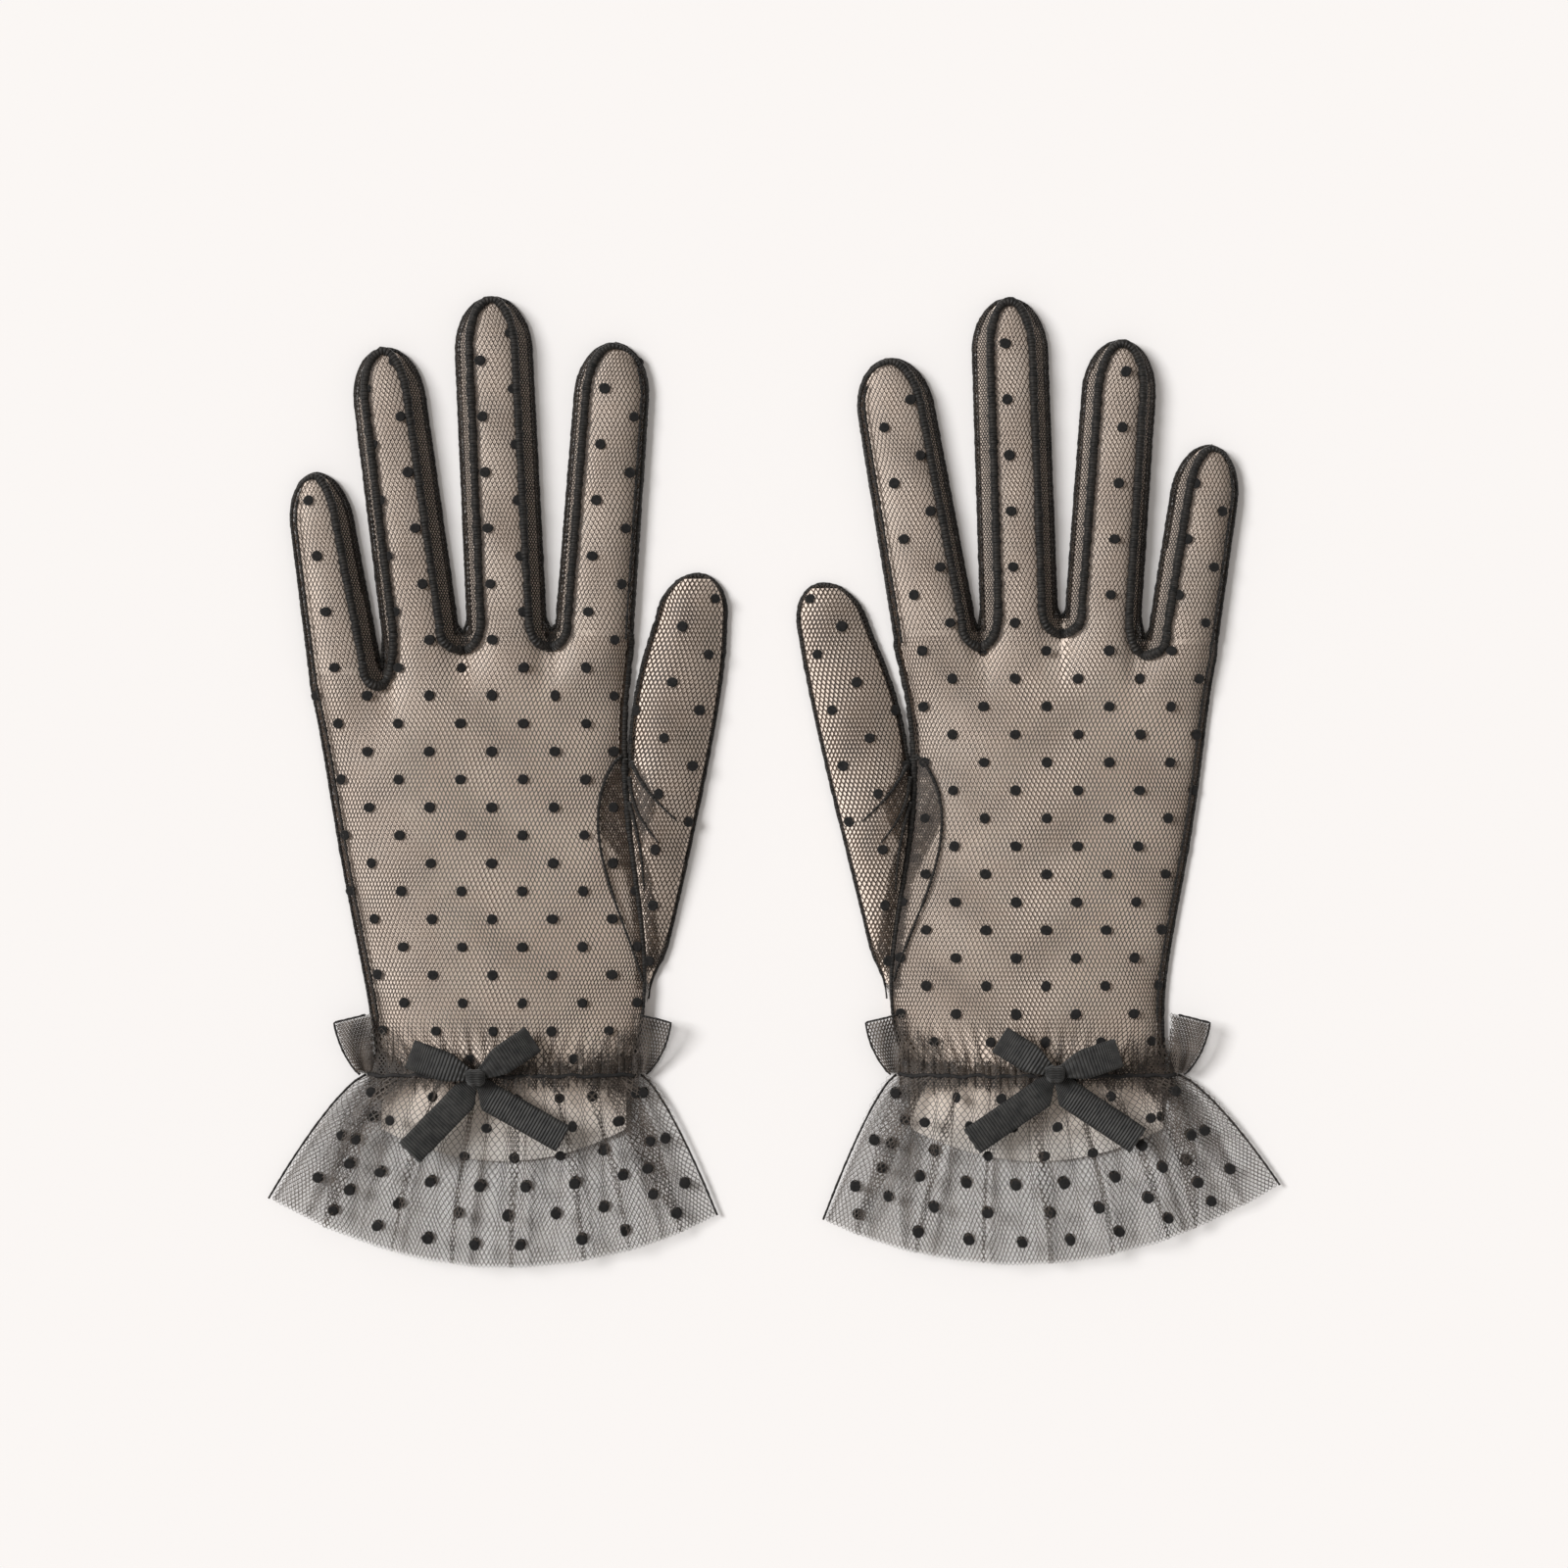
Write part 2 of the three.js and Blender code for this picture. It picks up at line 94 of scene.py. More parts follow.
# %% [markdown]
# ## Reading the pattern pieces from the frame
# The frame holds every panel of the glove where it lies. Both gloves are worked in one drawing,
# with the thumb toward +x, so the right-hand glove is that drawing turned over. A finger is
# described by its root and direction, which its joint gives, and by its length and widths, which
# its front strip gives. The hand's edges are smooth curves fitted through the palm panel.

# %% Points and outlines of the panels
def node_points(glove, node):
    """The points of a CAD node in this glove's drawing, in millimetres."""
    mesh = frame["nodes"][f"{glove['side']}_{node}"].data
    points = np.array([v.co for v in mesh.vertices]) / MM
    points[:, 0] = (points[:, 0] - glove["centre"]) * glove["sign"]
    return points


def span(glove, node, y):
    """Where a panel starts and ends across the glove, at one height y of the drawing."""
    points = node_points(glove, node)
    mesh = frame["nodes"][f"{glove['side']}_{node}"].data
    ends = np.array([e.vertices[:] for e in mesh.edges])
    a, b = points[ends[:, 0]], points[ends[:, 1]]
    crosses = (a[:, 1] - y) * (b[:, 1] - y) < 0
    a, b = a[crosses], b[crosses]
    x = a[:, 0] + (b[:, 0] - a[:, 0]) * (y - a[:, 1]) / (b[:, 1] - a[:, 1])
    return float(x.min()), float(x.max())


def fitted(glove, node, low, high, end, degree=4):
    """A smooth curve x(y) through one edge of a panel; end 0 is the little-finger side."""
    rows = np.linspace(low, high, 14)
    values = [span(glove, node, y)[end] for y in rows]
    curve = np.polynomial.Polynomial.fit(rows, values, degree)
    return lambda y: float(curve(min(high, max(low, y))))


# %% A finger's measures
TIP = 15.0        # stretch over which a fingertip rounds off
STRIP_EASE = 0.3  # a side strip shows this much wider than its panel


def read_finger(glove, name):
    joint = next(j for j in frame["joints"] if j["name"] == f"{glove['side']}_{name}_fold")
    axis, place = joint["axis"], joint["pos_m"]
    along = Vector((-axis[1] * glove["sign"], axis[0]))
    across = Vector((along.y, -along.x))
    root = Vector(((place[0] / MM - glove["centre"]) * glove["sign"], place[1] / MM))
    flat = node_points(glove, f"{name}_front")[:, :2] - np.array(root)
    t, c = flat @ np.array(along), flat @ np.array(across)
    length = float(t.max())
    middle = (t > 0.5 * length) & (t < 0.7 * length)
    half_root = float(np.abs(c[t < 1]).max())
    half_middle = float(np.abs(c[middle]).max())
    taper = (half_middle - half_root) / float(t[middle].mean())
    strips = []
    for end in ("out", "in"):
        node = f"{name}_fourchette_{end}"
        if f"{glove['side']}_{node}" not in frame["nodes"]:
            strips.append(0.0)
            continue
        strip = node_points(glove, node)[:, :2] - np.array(root)
        near = strip @ np.array(along) < 1
        strips.append(float(np.ptp(strip[near] @ np.array(across))) + STRIP_EASE)
    top = float(node_points(glove, f"{name}_back")[:, 2].max())
    return {"name": name, "root": root, "along": along, "across": across, "length": length,
            "half": half_root, "taper": taper, "strips": strips, "top": top,
            "body": f"{glove['side']}_{name}_finger"}


# %% A glove's measures
LOFT = 0.84         # an empty glove lies a little lower than the room its panels are given
EDGE_START = -77.0  # the hand's edges are fitted from here, just above the elastic


def read_glove(side):
    rest = next(m for m in frame["record"]["mounts"] if m["name"] == f"{side}_palm_rest")
    centre = rest["pos_m"][0] / MM
    thumb_low, thumb_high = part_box(f"{side}_thumb_back")
    sign = 1 if (thumb_low.x + thumb_high.x) / 2 / MM > centre else -1
    glove = {"side": side, "centre": centre, "sign": sign, "hand": f"{side}_hand"}
    glove["fingers"] = [read_finger(glove, name) for name in FINGERS]
    roots = [f["root"] for f in glove["fingers"]]
    glove["outer"] = fitted(glove, "hand_palm", EDGE_START, roots[0].y - 3, 0)
    glove["inner"] = fitted(glove, "hand_palm", EDGE_START, roots[3].y - 4, 1)
    glove["top"] = float(node_points(glove, "hand_back")[:, 2].max()) * LOFT
    elastic = node_points(glove, "wrist_elastic")
    glove["wrist_y"] = float(elastic[:, 1].mean())
    glove["waist"] = span(glove, "flounce", glove["wrist_y"])
    cloth = node_points(glove, "flounce")
    left, right = cloth[cloth[:, 0].argmin()], cloth[cloth[:, 0].argmax()]
    glove["hem"] = (Vector(left[:2]), Vector(right[:2]), float(cloth[:, 1].min()))
    glove["cuff_top"] = float(cloth[:, 2].max())
    return glove


gloves = [read_glove(side) for side in SIDES]
for glove in gloves:
    for f in glove["fingers"]:
        print(glove["side"], f["name"], [round(x, 1) for x in (f["length"], f["half"], *f["strips"])])


# %% [markdown]
# ## The surface that the cloth lies on
# An empty glove lies like a flat pillow: thin at its seams, highest down the middle. One lens
# curve gives that shape to the hand, each finger and the thumb. Toward the knuckles the hand's
# pillow turns into the four pillows of the fingers, so the net can run on without a step.

# %% Height of the back and the palm side
EDGE_Z = 1.2         # middle of the rolled seam round the outline
PALM_Z = 0.35        # palm-side cloth, lying on the table
PALM_ROUND = 3.0     # where the back is lower than this over its edge, the palm side rises to meet it
KNUCKLE = 24.0       # stretch below the knuckles over which the fingers take shape
CROTCH_DROP = 3.6    # how far the crotch seam dips below the finger roots
WRIST_REACH = 30.0   # stretch above the elastic over which the hand takes the cuff's height


def lens(c):
    return max(0.0, 1 - abs(c) ** 2.4) ** 0.75


def half_width(f, t):
    """Half the width of a finger at distance t from its root."""
    past = (t - (f["length"] - TIP)) / TIP
    width = f["half"] + f["taper"] * max(0.0, t)
    return width * math.sqrt(max(0.0, 1 - past * past)) if past > 0 else width


def finger_coordinates(f, x, y):
    away = Vector((x, y)) - f["root"]
    return away.dot(f["across"]), away.dot(f["along"])


def finger_point(f, c, t):
    return f["root"] + f["across"] * c + f["along"] * t


def finger_height(f, c, t):
    half = max(0.1, half_width(f, t))
    crown = (f["top"] * LOFT - EDGE_Z) * (0.35 + 0.65 * min(1.0, half / f["half"]))
    return EDGE_Z + crown * lens(c / half)


def root_line(glove, x):
    """The y of the knuckle line at x."""
    roots = [f["root"] for f in glove["fingers"]]
    return float(np.interp(x, [r.x for r in roots], [r.y for r in roots]))


def seam_lift(y):
    """The thumb's seam is held up a little where the thumb joins the hand."""
    return 2.2 * smooth((8 - y) / 22)


def back_height(glove, x, y):
    left, right = glove["outer"](y), glove["inner"](y)
    c = 2 * (x - left) / (right - left) - 1
    wrist = smooth((glove["wrist_y"] + WRIST_REACH - y) / WRIST_REACH)
    top = lerp(glove["top"], glove["cuff_top"] * LOFT, wrist)
    lift = seam_lift(y) * max(0.0, c) ** 4
    hand = EDGE_Z + lift + (top - EDGE_Z - lift) * lens(c)
    share = smooth((y - root_line(glove, x) + KNUCKLE) / KNUCKLE)
    if share == 0:
        return hand
    arch = max(finger_height(f, *finger_coordinates(f, x, y)) for f in glove["fingers"])
    return lerp(hand, arch, share)


def palm_height(glove, x, y):
    rise = (back_height(glove, x, y) - EDGE_Z) / PALM_ROUND
    return lerp(EDGE_Z, PALM_Z, min(1.0, rise))


def on_back(glove, x, y, above=0.0):
    """A point on the back of the glove, or this far above it."""
    return Vector((x, y, back_height(glove, x, y) + above))


# %% [markdown]
# ## Cloth that rolls over an edge
# Seen from above, net looks closer toward the edge of a finger or the hand, because the cloth
# turns down there. This curve says how far from the middle a point comes to lie.

# %% Rolling over
ROLL = 0.09  # a half width of the form takes this much more cloth


def rolled(half, away):
    """Where cloth that is this far from the middle line lies, on a form of this half width."""
    s = min(1.0, max(-1.0, away / (half * (1 + ROLL))))
    return half * ((1 + ROLL) * s - ROLL * s ** 9)


# %% The thumb's plan and height
THUMB_TIP = 13.0     # stretch over which the tip rounds off
THUMB_FOOT = -60.0   # its seams run together here, near the wrist


def read_thumb(glove):
    points = node_points(glove, "thumb_front")
    top = float(points[:, 1].max())
    rows = np.linspace(-50, top - THUMB_TIP, 12)
    ends = np.array([span(glove, "thumb_front", y) for y in rows])
    middle = np.polynomial.Polynomial.fit(rows, ends.mean(1), 4)
    half = np.polynomial.Polynomial.fit(rows, (ends[:, 1] - ends[:, 0]) / 2, 4)
    return {"top": top, "foot": THUMB_FOOT, "middle": middle, "width": half, "last": top - THUMB_TIP,
            "slope": float(middle.deriv()(top - THUMB_TIP)) * 0.7,
            "crown": float(node_points(glove, "thumb_back")[:, 2].max()) * LOFT}


def thumb_edges(glove, y):
    """The inner and outer edge of the thumb; below its crotch the inner edge is the hand's seam."""
    thumb = glove["thumb"]
    held = min(y, thumb["last"])
    past = max(0.0, y - thumb["last"])
    middle = float(thumb["middle"](held)) + past * thumb["slope"]
    past = min(1.0, past / THUMB_TIP)
    half = max(0.0, float(thumb["width"](held))) * math.sqrt(1 - past * past)
    inner = middle - half
    if y < 6:
        inner = lerp(inner, glove["inner"](y) + 0.5, smooth((6 - y) / 6))
    outer = max(inner + 0.1, middle + half)
    foot = smooth((y - thumb["foot"]) / 14)
    return inner, lerp(min(outer, inner + 1.0), outer, foot)


def thumb_height(glove, x, y):
    inner, outer = thumb_edges(glove, y)
    c = 2 * (x - inner) / max(0.2, outer - inner) - 1
    lift = seam_lift(y) * max(0.0, (1 - c) / 2) ** 2
    size = min(1.0, (outer - inner) / 16)
    return EDGE_Z + lift + (glove["thumb"]["crown"] - EDGE_Z) * size * lens(c)


for glove in gloves:
    glove["thumb"] = read_thumb(glove)
    print(glove["side"], "thumb ends at y", round(glove["thumb"]["top"], 1))


# %% [markdown]
# ## Finishes
# All the cloths are dull and dark, so what tells them apart is small: the net thread shines a
# little and is a warm black, the flock is the darkest, the ribbon has fine ribs across it, and
# the lining is a nude knit. Each finish mixes two near tones with noise on object coordinates.

# %% A mottled cloth finish
def finish(name, dark, light, tone_size, rough, grain_size=0.0, grain=0.0, sheen=0.0):
    """A cloth whose colour drifts between two tones; sizes are in millimetres."""
    material = bpy.data.materials.new(name)
    material.use_nodes = True
    nodes, links = material.node_tree.nodes, material.node_tree.links
    shader = nodes["Principled BSDF"]
    shader.inputs["Roughness"].default_value = rough
    shader.inputs["Specular IOR Level"].default_value = 0.3
    shader.inputs["Sheen Weight"].default_value = sheen
    shader.inputs["Sheen Roughness"].default_value = 0.4
    place = nodes.new("ShaderNodeTexCoord")
    noise = nodes.new("ShaderNodeTexNoise")
    noise.inputs["Scale"].default_value = 1 / (tone_size * MM)
    noise.inputs["Detail"].default_value = 4
    links.new(place.outputs["Object"], noise.inputs["Vector"])
    ramp = nodes.new("ShaderNodeValToRGB")
    ramp.color_ramp.elements[0].position = 0.35
    ramp.color_ramp.elements[1].position = 0.65
    ramp.color_ramp.elements[0].color = (*dark, 1)
    ramp.color_ramp.elements[1].color = (*light, 1)
    links.new(noise.outputs["Fac"], ramp.inputs["Fac"])
    links.new(ramp.outputs["Color"], shader.inputs["Base Color"])
    if grain:
        fine = nodes.new("ShaderNodeTexNoise")
        fine.inputs["Scale"].default_value = 1 / (grain_size * MM)
        fine.inputs["Detail"].default_value = 2
        links.new(place.outputs["Object"], fine.inputs["Vector"])
        add_bump(material, fine.outputs["Fac"], grain, grain_size * 0.3)
    return material


def add_bump(material, height, strength, depth):
    nodes, links = material.node_tree.nodes, material.node_tree.links
    bump = nodes.new("ShaderNodeBump")
    bump.inputs["Strength"].default_value = strength
    bump.inputs["Distance"].default_value = depth * MM
    links.new(height, bump.inputs["Height"])
    links.new(bump.outputs["Normal"], nodes["Principled BSDF"].inputs["Normal"])


# %% [markdown]
# ## The lining pales toward its end
# Below the elastic the lining's colour drifts to a pale grey over the last stretch: painted light
# and shade, the tone of the lit floor seen through the net, so that the lining's end does not show.
# A gradient on the object's own y coordinate does this.

# %% A second colour by place
def fade_colour(material, start_y, end_y, colour):
    """Between two y places, in metres, the finish turns into another colour."""
    nodes, links = material.node_tree.nodes, material.node_tree.links
    shader = nodes["Principled BSDF"]
    before = shader.inputs["Base Color"].links[0].from_socket
    place = nodes.new("ShaderNodeTexCoord")
    split = nodes.new("ShaderNodeSeparateXYZ")
    links.new(place.outputs["Object"], split.inputs["Vector"])
    share = nodes.new("ShaderNodeMapRange")
    share.inputs["From Min"].default_value = start_y
    share.inputs["From Max"].default_value = end_y
    links.new(split.outputs["Y"], share.inputs["Value"])
    mix = nodes.new("ShaderNodeMix")
    mix.data_type = "RGBA"
    links.new(share.outputs["Result"], mix.inputs["Factor"])
    links.new(before, mix.inputs["A"])
    mix.inputs["B"].default_value = (*colour, 1)
    links.new(mix.outputs["Result"], shader.inputs["Base Color"])


# %% [markdown]
# ## Ribs of the ribbon and stitches of the seams
# Both run across the piece's own length, whichever way it turns, so they read the UV map, which
# every ribbon and seam carries in millimetres: u across and v along. Each band also darkens the
# colour, painted shade between the ridges.

# %% Bands across a length
def add_bands(material, pitch, strength, depth):
    """Fine ridges across the piece, one every pitch millimetres of its v coordinate, with painted shade in
    each band.
    """
    nodes, links = material.node_tree.nodes, material.node_tree.links
    place = nodes.new("ShaderNodeTexCoord")
    wave = nodes.new("ShaderNodeTexWave")
    wave.bands_direction = "Y"
    wave.inputs["Scale"].default_value = 2 * math.pi / (20 * pitch)
    wave.inputs["Distortion"].default_value = 0.6
    wave.inputs["Detail"].default_value = 2
    links.new(place.outputs["UV"], wave.inputs["Vector"])
    add_bump(material, wave.outputs["Fac"], strength, depth)
    shader = nodes["Principled BSDF"]
    before = shader.inputs["Base Color"].links[0].from_socket
    # painted shade: the wave also darkens the base colour in every band
    mix = nodes.new("ShaderNodeMix")
    mix.data_type = "RGBA"
    mix.blend_type = "MULTIPLY"
    links.new(wave.outputs["Fac"], mix.inputs["Factor"])
    links.new(before, mix.inputs["A"])
    mix.inputs["B"].default_value = (0.58, 0.58, 0.58, 1)
    links.new(mix.outputs["Result"], shader.inputs["Base Color"])


NET = finish("net_thread", (0.024, 0.015, 0.010), (0.064, 0.043, 0.029), 5, 0.55, sheen=0.1)
# A darker copy of the net thread for the side strips, the turned-back net and the gathers: painted shade on
# these sloping and crushed places, over the real darkening of their closer mesh.
SHADED_NET = finish("darker_thread_painted_shade", (0.014, 0.011, 0.009), (0.045, 0.034, 0.026), 4, 0.6, sheen=0.05)
CUFF_NET = finish("flounce_thread", (0.038, 0.030, 0.025), (0.105, 0.086, 0.072), 6, 0.5, sheen=0.2)
FLOCK = finish("flocked_dot", (0.006, 0.006, 0.006), (0.015, 0.014, 0.014), 0.8, 0.95, 0.25, 0.6, 0.15)
SEAM = finish("seam_thread", (0.006, 0.006, 0.006), (0.034, 0.030, 0.027), 1.3, 0.55, sheen=0.1)
add_bands(SEAM, 1.0, 0.9, 0.3)
NUDE = finish("nude_knit", (0.82, 0.685, 0.585), (0.90, 0.77, 0.665), 14, 0.8, 0.45, 0.35, 0.1)
# the lining's end is painted the pale grey of the lit floor seen through the net
fade_colour(NUDE, -0.083, -0.101, (0.74, 0.70, 0.66))
SATIN = finish("ribbed_ribbon", (0.020, 0.020, 0.020), (0.046, 0.045, 0.043), 2.2, 0.55, sheen=0.12)
add_bands(SATIN, 0.75, 1.0, 0.25)
CORD = finish("elastic_cover", (0.008, 0.008, 0.008), (0.022, 0.020, 0.020), 1, 0.8, 0.3, 0.6)
print("finishes:", [m.name for m in bpy.data.materials])


# %% [markdown]
# ## From a drawing to a finished piece
# A piece is drawn in millimetres in the glove's own drawing. This step turns the right-hand
# glove over, scales it to metres, and makes the object, which stays at the origin. Turning a
# shape over turns its faces inside out, so they are reversed with it.

# %% Finished pieces
pieces = {}


def world(glove, x, y, z=0.0):
    return Vector((glove["centre"] + glove["sign"] * x, y, z)) * MM


def make_piece(bm, glove, name, material, slot, stands_for=None, shade=False):
    """The object for a drawn mesh; stands_for is the CAD node that it replaces."""
    turn = Matrix.Diagonal((glove["sign"] * MM, MM, MM, 1))
    turn.translation = (glove["centre"] * MM, 0, 0)
    bmesh.ops.transform(bm, matrix=turn, verts=bm.verts)
    if glove["sign"] < 0:
        bmesh.ops.reverse_faces(bm, faces=bm.faces)
    if shade:
        for face in bm.faces:
            face.smooth = True
    mesh = bpy.data.meshes.new(f"{glove['side']}_{name}")
    bm.to_mesh(mesh)
    bm.free()
    piece = bpy.data.objects.new(mesh.name, mesh)
    bpy.context.scene.collection.objects.link(piece)
    mesh.materials.append(material)
    if stands_for:
        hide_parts(f"{glove['side']}_{stands_for}")
    pieces[piece.name] = piece
    return piece


def triangles(piece):
    return len(piece.data.loops) - 2 * len(piece.data.polygons)


def on_hand(bm, glove, *rest, **more):
    """A piece that stays with the hand."""
    piece = make_piece(bm, glove, *rest, **more)
    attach(piece, glove["hand"])
    return piece


CURL = (0.5, 23.0)       # the stretch from its root over which a finger would curl; worked out but not applied
THUMB_CURL = (0.3, 7.0)  # the same for the thumb, from its hinge; worked out but not applied


def bend_with_finger(piece, glove, f):
    """Cloth that crosses a knuckle. A short bend would turn the back of a thick finger inside out,
    so the curl's stretch is more than twice the finger's height; it is worked out but not applied,
    and the piece's transform is only baked into its mesh."""
    start, end = (world(glove, *finger_point(f, 0, t)) for t in CURL)
    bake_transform(piece)


def bend_with_thumb(piece, glove):
    """Cloth that crosses the thumb's seam, where the thumb would fold up off the table: the piece's
    transform is baked into its mesh, and the stretch of that fold is worked out but not applied.
    """
    joint = next(j for j in frame["joints"] if j["name"] == f"{glove['side']}_thumb_fold")
    place, axis = Vector(joint["pos_m"]), Vector(joint["axis"])
    away = Vector((axis.y, -axis.x, 0)) * math.copysign(1, axis.y) * glove["sign"]
    start, end = (place + away * reach * MM for reach in THUMB_CURL)
    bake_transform(piece)
    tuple(start)
    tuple(end)


# %% [markdown]
# ## The net
# Machine net is a field of six-sided holes, here pulled long, with each row half a hole aside.
# One hexagon is copied in doubling steps into a staggered sheet, and the corners are merged. The
# sheet is laid on the glove first and each hexagon is then inset, so that a thread keeps its
# thickness where the cloth is gathered and looks denser there, as the real one does.

# %% A sheet of hexagons
CELL_WIDTH = 1.14
ROW_PITCH = 1.175
UPRIGHT = 0.2       # short upright side of each hole
THREAD = 0.262
CLOSED = 0.12       # a cell squeezed to less than this share of its size is shut
MOST_INSET = 0.85   # a corner moves at most this share of the way to its hole's middle


def repeat(bm, count, step):
    """Lay count copies of what is drawn side by side, doubling them up."""
    unit, made = len(bm.faces), 1
    while made < count:
        take = min(made, count - made)
        bm.faces.ensure_lookup_table()
        copied = bmesh.ops.duplicate(bm, geom=bm.faces[: unit * take])["geom"]
        corners = [g for g in copied if isinstance(g, bmesh.types.BMVert)]
        bmesh.ops.translate(bm, verts=corners, vec=Vector(step) * made)
        made += take


def hexagons(low, high, size=1.0):
    """Staggered hexagons that cover the box from low to high, in step with every other sheet."""
    width, pitch = CELL_WIDTH * size, ROW_PITCH * size
    columns = [math.floor(low[0] / width), math.ceil(high[0] / width) + 1]
    rows = [math.floor(low[1] / (2 * pitch)), math.ceil(high[1] / (2 * pitch)) + 1]
    bm = bmesh.new()
    ring = bmesh.ops.create_circle(bm, cap_ends=True, segments=6, radius=1)["verts"]
    for corner in ring:
        side = abs(corner.co.x) > 0.1
        corner.co.x *= width / 2 / math.cos(math.pi / 6)
        corner.co.y = math.copysign((UPRIGHT if side else 2 * ROW_PITCH - UPRIGHT) * size / 2, corner.co.y)
    bmesh.ops.translate(bm, verts=bm.verts, vec=(columns[0] * width, rows[0] * 2 * pitch, 0))
    repeat(bm, 2, (width / 2, pitch, 0))
    repeat(bm, columns[1] - columns[0], (width, 0, 0))
    repeat(bm, rows[1] - rows[0], (0, 2 * pitch, 0))
    bmesh.ops.remove_doubles(bm, verts=bm.verts, dist=0.05 * size)
    return bm


def pulled(x, y):
    """The net is never quite straight: its columns drift a little to and fro."""
    return x + 0.75 * math.sin(y / 4.6 + 1.5 * math.sin(x / 9)) + 0.5 * math.sin(y / 13 - x / 17), y


def open_holes(bm, thread, size):
    """Inset every cell and take out its middle; a cell that is squeezed flat just closes."""
    flat = [f for f in bm.faces if f.calc_area() < CLOSED * CELL_WIDTH * ROW_PITCH * size * size]
    bmesh.ops.delete(bm, geom=flat, context="FACES")
    cells = [(f, f.calc_center_median(), [v.co.copy() for v in f.verts]) for f in bm.faces]
    holes = [cell[0] for cell in cells]
    bmesh.ops.inset_individual(bm, faces=holes, thickness=thread / 2, use_even_offset=True)
    for face, middle, corners in cells:
        for vert, corner in zip(face.verts, corners):
            inward = middle - corner
            if (vert.co - corner).length > MOST_INSET * inward.length:
                vert.co = corner + inward * MOST_INSET
    bmesh.ops.delete(bm, geom=holes, context="FACES_ONLY")
    loose = [v for v in bm.verts if not v.link_faces]
    bmesh.ops.delete(bm, geom=loose, context="VERTS")


def lay_net(low, high, keep, place, size=1.0, thread=THREAD, down=False):
    """Cut the sheet to the cells that keep says, lay it by place, and open the holes."""
    bm = hexagons(low, high, size)
    outside = [f for f in bm.faces if not keep(*f.calc_center_median()[:2])]
    bmesh.ops.delete(bm, geom=outside, context="FACES")
    for corner in bm.verts:
        corner.co = place(corner.co.x, corner.co.y)
    open_holes(bm, thread, size)
    if down == (np.mean([f.normal.z for f in bm.faces[:50]] or [1]) > 0):
        bmesh.ops.reverse_faces(bm, faces=bm.faces)
    return bm


# %% [markdown]
# ## Net on the fingers and the hand
# The same lattice runs from the wrist to the fingertips. A finger's part of it is slanted to
# follow the finger, and starts on the line where the hand's part ends, so the join is unseen.
# Each piece is only kept between its own seams: a corner past a seam is drawn back onto it.

# %% Where the back strip of a finger ends
SEAM_INSET = 0.4   # net ends this far inside a plain outline
TIP_INSET = 1.3    # and this far inside a fingertip


def strip_limits(f, t):
    """How far the back strip reaches to each side at distance t from the root."""
    past = max(0.0, (t - (f["length"] - TIP)) / (TIP - TIP_INSET))
    if past >= 1:
        return 0.0, 0.0
    full = f["half"] + f["taper"] * max(0.0, t)
    out, inn = (max(SEAM_INSET, s) for s in f["strips"])
    fade = math.sqrt(1 - past * past)
    return -(full - out) * fade, (full - inn) * fade


def slant(f, x, y):
    """From the lattice to the finger: columns of the net lean with it."""
    return x + (y - f["root"].y) * f["along"].x / f["along"].y, y


def finger_cloth(f, x, y):
    """Where a point of the flat cloth comes to lie on a finger: across it and along it."""
    c, t = finger_coordinates(f, *slant(f, x, y))
    return rolled(f["half"], c) if abs(c) < f["half"] * (1 + ROLL) else math.copysign(99, c), t


def finger_net(glove, f, down):
    height = palm_height if down else back_height

    def limits(t):
        if not down:
            return strip_limits(f, t)
        half = half_width(f, min(t, f["length"])) - SEAM_INSET
        return -max(0.0, half), max(0.0, half)

    def keep(x, y):
        c, t = finger_cloth(f, *pulled(x, y))
        low, high = limits(t)
        return y >= f["root"].y and low < c < high and t < f["length"] - TIP_INSET / 2

    def place(x, y):
        c, t = finger_cloth(f, *pulled(x, y))
        low, high = limits(t)
        point = finger_point(f, min(high, max(low, c)), t)
        return Vector((point.x, point.y, height(glove, point.x, point.y)))

    reach = f["half"] + 2
    low = (f["root"].x - reach, f["root"].y - 3)
    high = (f["root"].x + reach, f["root"].y + f["length"])
    return lay_net(low, high, keep, place, down=down)


# %% Where the hand's net ends at the knuckles
U_TOP = 2.0        # distance past the root at which the U of seam meets the straight seams


def crotches(glove):
    """The lowest point of the seam between two fingers, for each pair of neighbours."""
    found = []
    for a, b in zip(glove["fingers"], glove["fingers"][1:]):
        inner = finger_point(a, a["half"], 0)
        outer = finger_point(b, -b["half"], 0)
        low = min(a["root"].y, b["root"].y) - CROTCH_DROP
        found.append(Vector(((inner.x + outer.x) / 2, low)))
    return found


def crotch_curve(glove, i):
    """The U between two fingers, from one back strip round to the next."""
    a, b, dip = glove["fingers"][i], glove["fingers"][i + 1], glove["crotches"][i]
    first = finger_point(a, strip_limits(a, U_TOP)[1], U_TOP)
    last = finger_point(b, strip_limits(b, U_TOP)[0], U_TOP)
    curve = []
    for k in range(17):
        turn = math.pi * k / 16
        side = first if k < 8 else last
        x = (first.x + last.x - math.cos(turn) * (last.x - first.x)) / 2
        curve.append(Vector((x, lerp(side.y, dip.y, math.sin(turn) ** 0.8))))
    return curve


def front_line(glove):
    """The hand's front edge: along each finger's root, and down round each crotch."""
    line = []
    for i, f in enumerate(glove["fingers"]):
        low, high = strip_limits(f, 0)
        if i == 0:
            line.append((f["root"].x + low - 3, f["root"].y))
        line += [(f["root"].x + edge, f["root"].y) for edge in (low + 0.5, high - 0.5)]
        if i < 3:
            line += [tuple(p) for p in crotch_curve(glove, i) if p.y < f["root"].y]
    return sorted(line)


